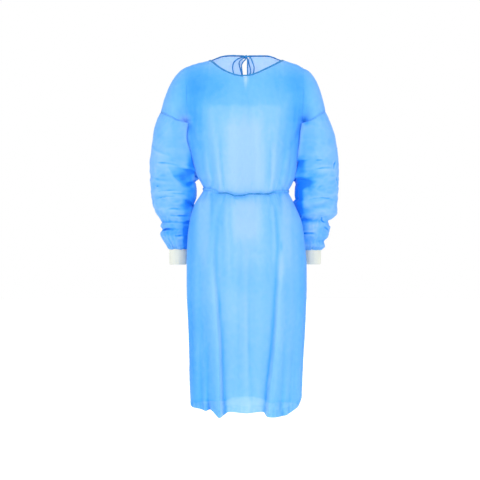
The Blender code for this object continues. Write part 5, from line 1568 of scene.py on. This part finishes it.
def waist_tie():
    """The strip round the waist: it lies flat at the sides and is rolled and twisted at the front."""
    n = 200
    front = np.linspace(-90.0, 90.0, n + 1)
    back = np.linspace(90.0, -90.0, n + 1)[1:-1]
    path, out_dir, x_at = [], [], []
    for face, angles in ((FRONT, front), (BACK, back)):
        s = np.sin(np.radians(angles))
        z = belt_z(face, s * 143.0)
        p = below_armpit(face, angles, z)
        ends = below_armpit(face, np.clip(angles + 1.5, -89, 89), z) - below_armpit(face, np.clip(angles - 1.5, -89, 89), z)
        o = np.cross(np.array([0, 0, 1.0]), ends) * (-1 if face == FRONT else 1)
        o = unit(o)
        o = np.where((np.abs(angles) > 88.5)[:, None], np.stack([np.sign(s), 0 * s, 0 * s], axis=1), o)
        if face == BACK:
            # the faces that it lies on step out over the lap
            p[:, 1] += LAP * smooth((92.0 - p[:, 0]) / 52.0) * smooth((p[:, 0] + 96.0) / 52.0)
            o = np.where((np.einsum("ij,j->i", o, np.array([0, 1.0, 0])) < 0)[:, None], -o, o)
        else:
            o = np.where((np.einsum("ij,j->i", o, np.array([0, -1.0, 0])) < -1e-3)[:, None], -o, o)
        path.append(p)
        out_dir.append(o)
        x_at.append(p[:, 0])
    path, out_dir, x_at = np.concatenate(path), np.concatenate(out_dir), np.concatenate(x_at)
    step = np.linalg.norm(np.diff(np.concatenate([path, path[:1]]), axis=0), axis=1)
    run = np.concatenate([[0.0], np.cumsum(step)])[:-1]
    total = float(step.sum())
    front_part = np.concatenate([np.ones(n + 1), np.zeros(n - 1)])
    rolled = front_part * smooth((104.0 - np.abs(x_at)) / 24.0)
    # roll angle: whole half turns, so that the strip ends flat again
    turn = np.cumsum(rolled * step) / (np.sum(rolled * step)) * math.pi * 7.0
    turn = turn + rolled * noise(run / 26.0, 0.0, 0.0, 61) * 0.5
    flatness = 1.0 - 0.40 * rolled - 0.36 * front_part * (1.0 - rolled) * smooth((136.0 - np.abs(x_at)) / 10.0)
    height = 8.0 * flatness
    wall = 1.3 + 1.9 * rolled
    lift = WALL + 1.7 + 0.9 * rolled + noise(run / 31.0, 0.0, 0.0, 62) * 0.25
    sag = noise(run / 45.0, 0.0, 0.0, 63) * 1.1
    along = along_of(path, closed=True)
    up = unit(np.cross(out_dir, along))
    up = np.where((up[:, 2] < 0)[:, None], -up, up)
    middle = path + out_dir * lift[:, None] + up * sag[:, None]
    a = up * np.cos(turn)[:, None] + out_dir * np.sin(turn)[:, None]
    b = -up * np.sin(turn)[:, None] + out_dir * np.cos(turn)[:, None]

    def section(k):
        sec = rounded(height[k], wall[k], 14, 2.6 if rolled[k] < 0.5 else 2.1)
        sec[:, 1] += 0.30 * rolled[k] * np.sin(sec[:, 0] * 1.4)
        return sec

    pts, quads = sweep(middle, list(zip(a, b)), section, closed=True)
    attrs = band_attributes(pts, 14, total / len(path), np.full(14, 99.0))
    attrs["tone"] = np.repeat(front_part * (0.9 - 0.9 * rolled) + 0.05, 14)[:len(pts)]
    obj = make_object("waist_tie", pts, facing_out(pts, quads), TAPE, attrs, ["waist_tie"])
    for k, (name, stations) in enumerate(WAIST_STRIPS.items()):
        way = spread_points([back_outer(s.x, s.z, s.off) for s in stations], 80)
        strip(name, way, on_edge if "loop" in name else upright, 6.0, 1.1, 300 + 7 * k, curl=0.35)
    knot("waist_knot", back_outer(KNOT_WAIST.x, KNOT_WAIST.z, KNOT_WAIST.off + 2.4), (7.8, 5.4, 6.8), 9)
    return obj


# ------------------------------------------------------------------ cuffs
def cuff_piece(sgn, name, rim):
    """Tube of ribbed knit, doubled over at its lower end; the sleeve is gathered on to it."""
    cuff = CUFFS[sgn]
    columns = 352                               # eight to a rib
    psi = np.linspace(0.0, 2 * math.pi, columns + 1)[:-1]
    ribs = 44
    top, seam, end = cuff.seam_z + CUFF_TUCK, cuff.seam_z, cuff.end_z
    inner_wall = 1.5
    # outer face from the top down, round the fold and up inside
    outer_z = np.concatenate([np.linspace(top, seam - 2.0, 6), np.linspace(seam - 4.0, end + 3.5, 34)])
    fold_t = np.linspace(0.12, 0.88, 6) * math.pi
    profile = [(z, 0.0) for z in outer_z]
    profile += [(end + 1.1 - 1.0 * math.sin(t), 1.0 * (1.0 - math.cos(t)) * inner_wall / 2) for t in fold_t]
    profile += [(z, inner_wall) for z in outer_z[::-1][3::3]]
    profile.append((top, inner_wall))
    levels = np.array([q[0] for q in profile])
    inset = np.array([q[1] for q in profile])
    down = (seam - levels) / (seam - end)
    pull = np.interp(levels, [end, end + 4.0, lerp(seam, end, 0.6), seam - 4.0, top], [2.6, 1.0, 0.5, 0.2, 0.2])
    rib = np.cos(psi * ribs + 0.5 * np.sin(psi * 3))
    rib = np.sign(rib) * np.abs(rib) ** 0.7
    wobble = noise(np.cos(psi) * 2.2, np.sin(psi) * 2.2, 0.0, 400 + sgn)[None, :] * np.clip(down, 0, 1)[:, None] * 0.8
    fade = np.where(inset[:, None] > 0.8, 0.5, 1.0) * smooth((levels - end) / 2.0)[:, None] * 0.75 + 0.25
    r_in = CUFF_WALL * 0.12 + pull[:, None] + inset[:, None] + 0.42 - 0.42 * rib[None, :] * fade - wobble * 0.0
    rx = cuff.half_width - r_in + np.minimum(0.0, wobble)
    ry = cuff.half_depth - r_in + np.minimum(0.0, wobble)
    x = cuff.x - sgn * rx * np.cos(psi)[None, :]
    y = cuff.y - ry * np.sin(psi)[None, :]
    z = levels[:, None] + 0 * psi[None, :] + np.clip(down, 0, 1)[:, None] * noise(np.cos(psi) * 1.5, np.sin(psi) * 1.5, 2.0, 410 + sgn)[None, :] * 0.5
    p = np.stack([x, y, z], axis=-1)
    index = np.arange(p.shape[0] * p.shape[1]).reshape(p.shape[:2])
    wrap = np.concatenate([index, index[:, :1]], axis=1)
    wrap = np.concatenate([wrap, wrap[:1]], axis=0)
    a, b, c, d = wrap[:-1, :-1], wrap[:-1, 1:], wrap[1:, 1:], wrap[1:, :-1]
    quads = np.stack([a, b, c, d], axis=-1).reshape(-1, 4)
    points = p.reshape(-1, 3)
    circumference = math.pi * (cuff.half_width + cuff.half_depth)
    flat = np.stack(np.broadcast_arrays(psi[None, :] / (2 * math.pi) * circumference, levels[:, None], 0.0), axis=-1)
    # the rib wave goes to the knit as tone, for painted shade in the rib valleys
    tone = np.broadcast_to(rib[None, :], p.shape[:2]).ravel()
    attrs = {"flat_mm": flat.reshape(-1, 3), "tone": tone, "seam_mm": np.full(len(points), 99.0),
             "seam_run": np.zeros(len(points))}
    obj = make_object(name, points, facing_out(points, quads), KNIT, attrs, [name])
    return obj


# ------------------------------------------------------------------ room and light
def stage():
    m = Nodes("studio_white")
    place = m.node("ShaderNodeTexCoord").outputs["Object"]
    grain = m.node("ShaderNodeTexNoise", values={"Scale": 3.0, "Detail": 2.0}, links={"Vector": place}).outputs["Fac"]
    colour = m.ramp(grain, [(0.0, (0.93, 0.935, 0.94)), (1.0, (0.95, 0.95, 0.955))], "LINEAR")
    paper = m.node("ShaderNodeBsdfPrincipled", values={"Roughness": 0.9, "Specular IOR Level": 0.1,
                                                       "Emission Color": (1.0, 1.0, 1.0, 1.0),
                                                       "Emission Strength": 0.30},
                   links={"Base Color": colour})
    material = m.finish(paper.outputs[0])
    bm = bmesh.new()
    bmesh.ops.create_circle(bm, cap_ends=True, radius=14.0, segments=96)
    mesh = bpy.data.meshes.new("studio_floor")
    bm.to_mesh(mesh)
    bm.free()
    mesh.materials.append(material)
    floor = bpy.data.objects.new("studio_floor", mesh)
    floor.location = (0.0, 0.0, -1.42)
    bpy.context.scene.collection.objects.link(floor)


def lights():
    world = bpy.data.worlds.new("studio")
    bpy.context.scene.world = world
    world.use_nodes = True
    back = world.node_tree.nodes["Background"]
    back.inputs["Color"].default_value = (1.0, 1.0, 1.0, 1.0)
    back.inputs["Strength"].default_value = 1.0

    Lamp = namedtuple("Lamp", "name x y z size power")
    for lamp in (Lamp("key_soft", -1.1, -3.6, 1.1, 1.8, 60.0), Lamp("fill_soft", 1.6, -3.2, 0.2, 1.8, 26.0)):
        data = bpy.data.lights.new(lamp.name, "AREA")
        data.shape = "DISK"
        data.size = lamp.size
        data.energy = lamp.power
        obj = bpy.data.objects.new(lamp.name, data)
        obj.location = (lamp.x, lamp.y, lamp.z)
        aim = Vector((0.0, 0.0, -0.55)) - obj.location
        obj.rotation_euler = aim.to_track_quat("-Z", "Y").to_euler()
        bpy.context.scene.collection.objects.link(obj)


bpy.context.scene.view_settings.view_transform = "Standard"
stage()
lights()
front_panel()
back_panel(LEFT, "back_panel_left")
back_panel(RIGHT, "back_panel_right")
_, rim_left = sleeve(LEFT, "sleeve_left")
_, rim_right = sleeve(RIGHT, "sleeve_right")
cuff_piece(LEFT, "cuff_left", rim_left)
cuff_piece(RIGHT, "cuff_right", rim_right)
neck_binding()
neck_tie()
waist_tie()
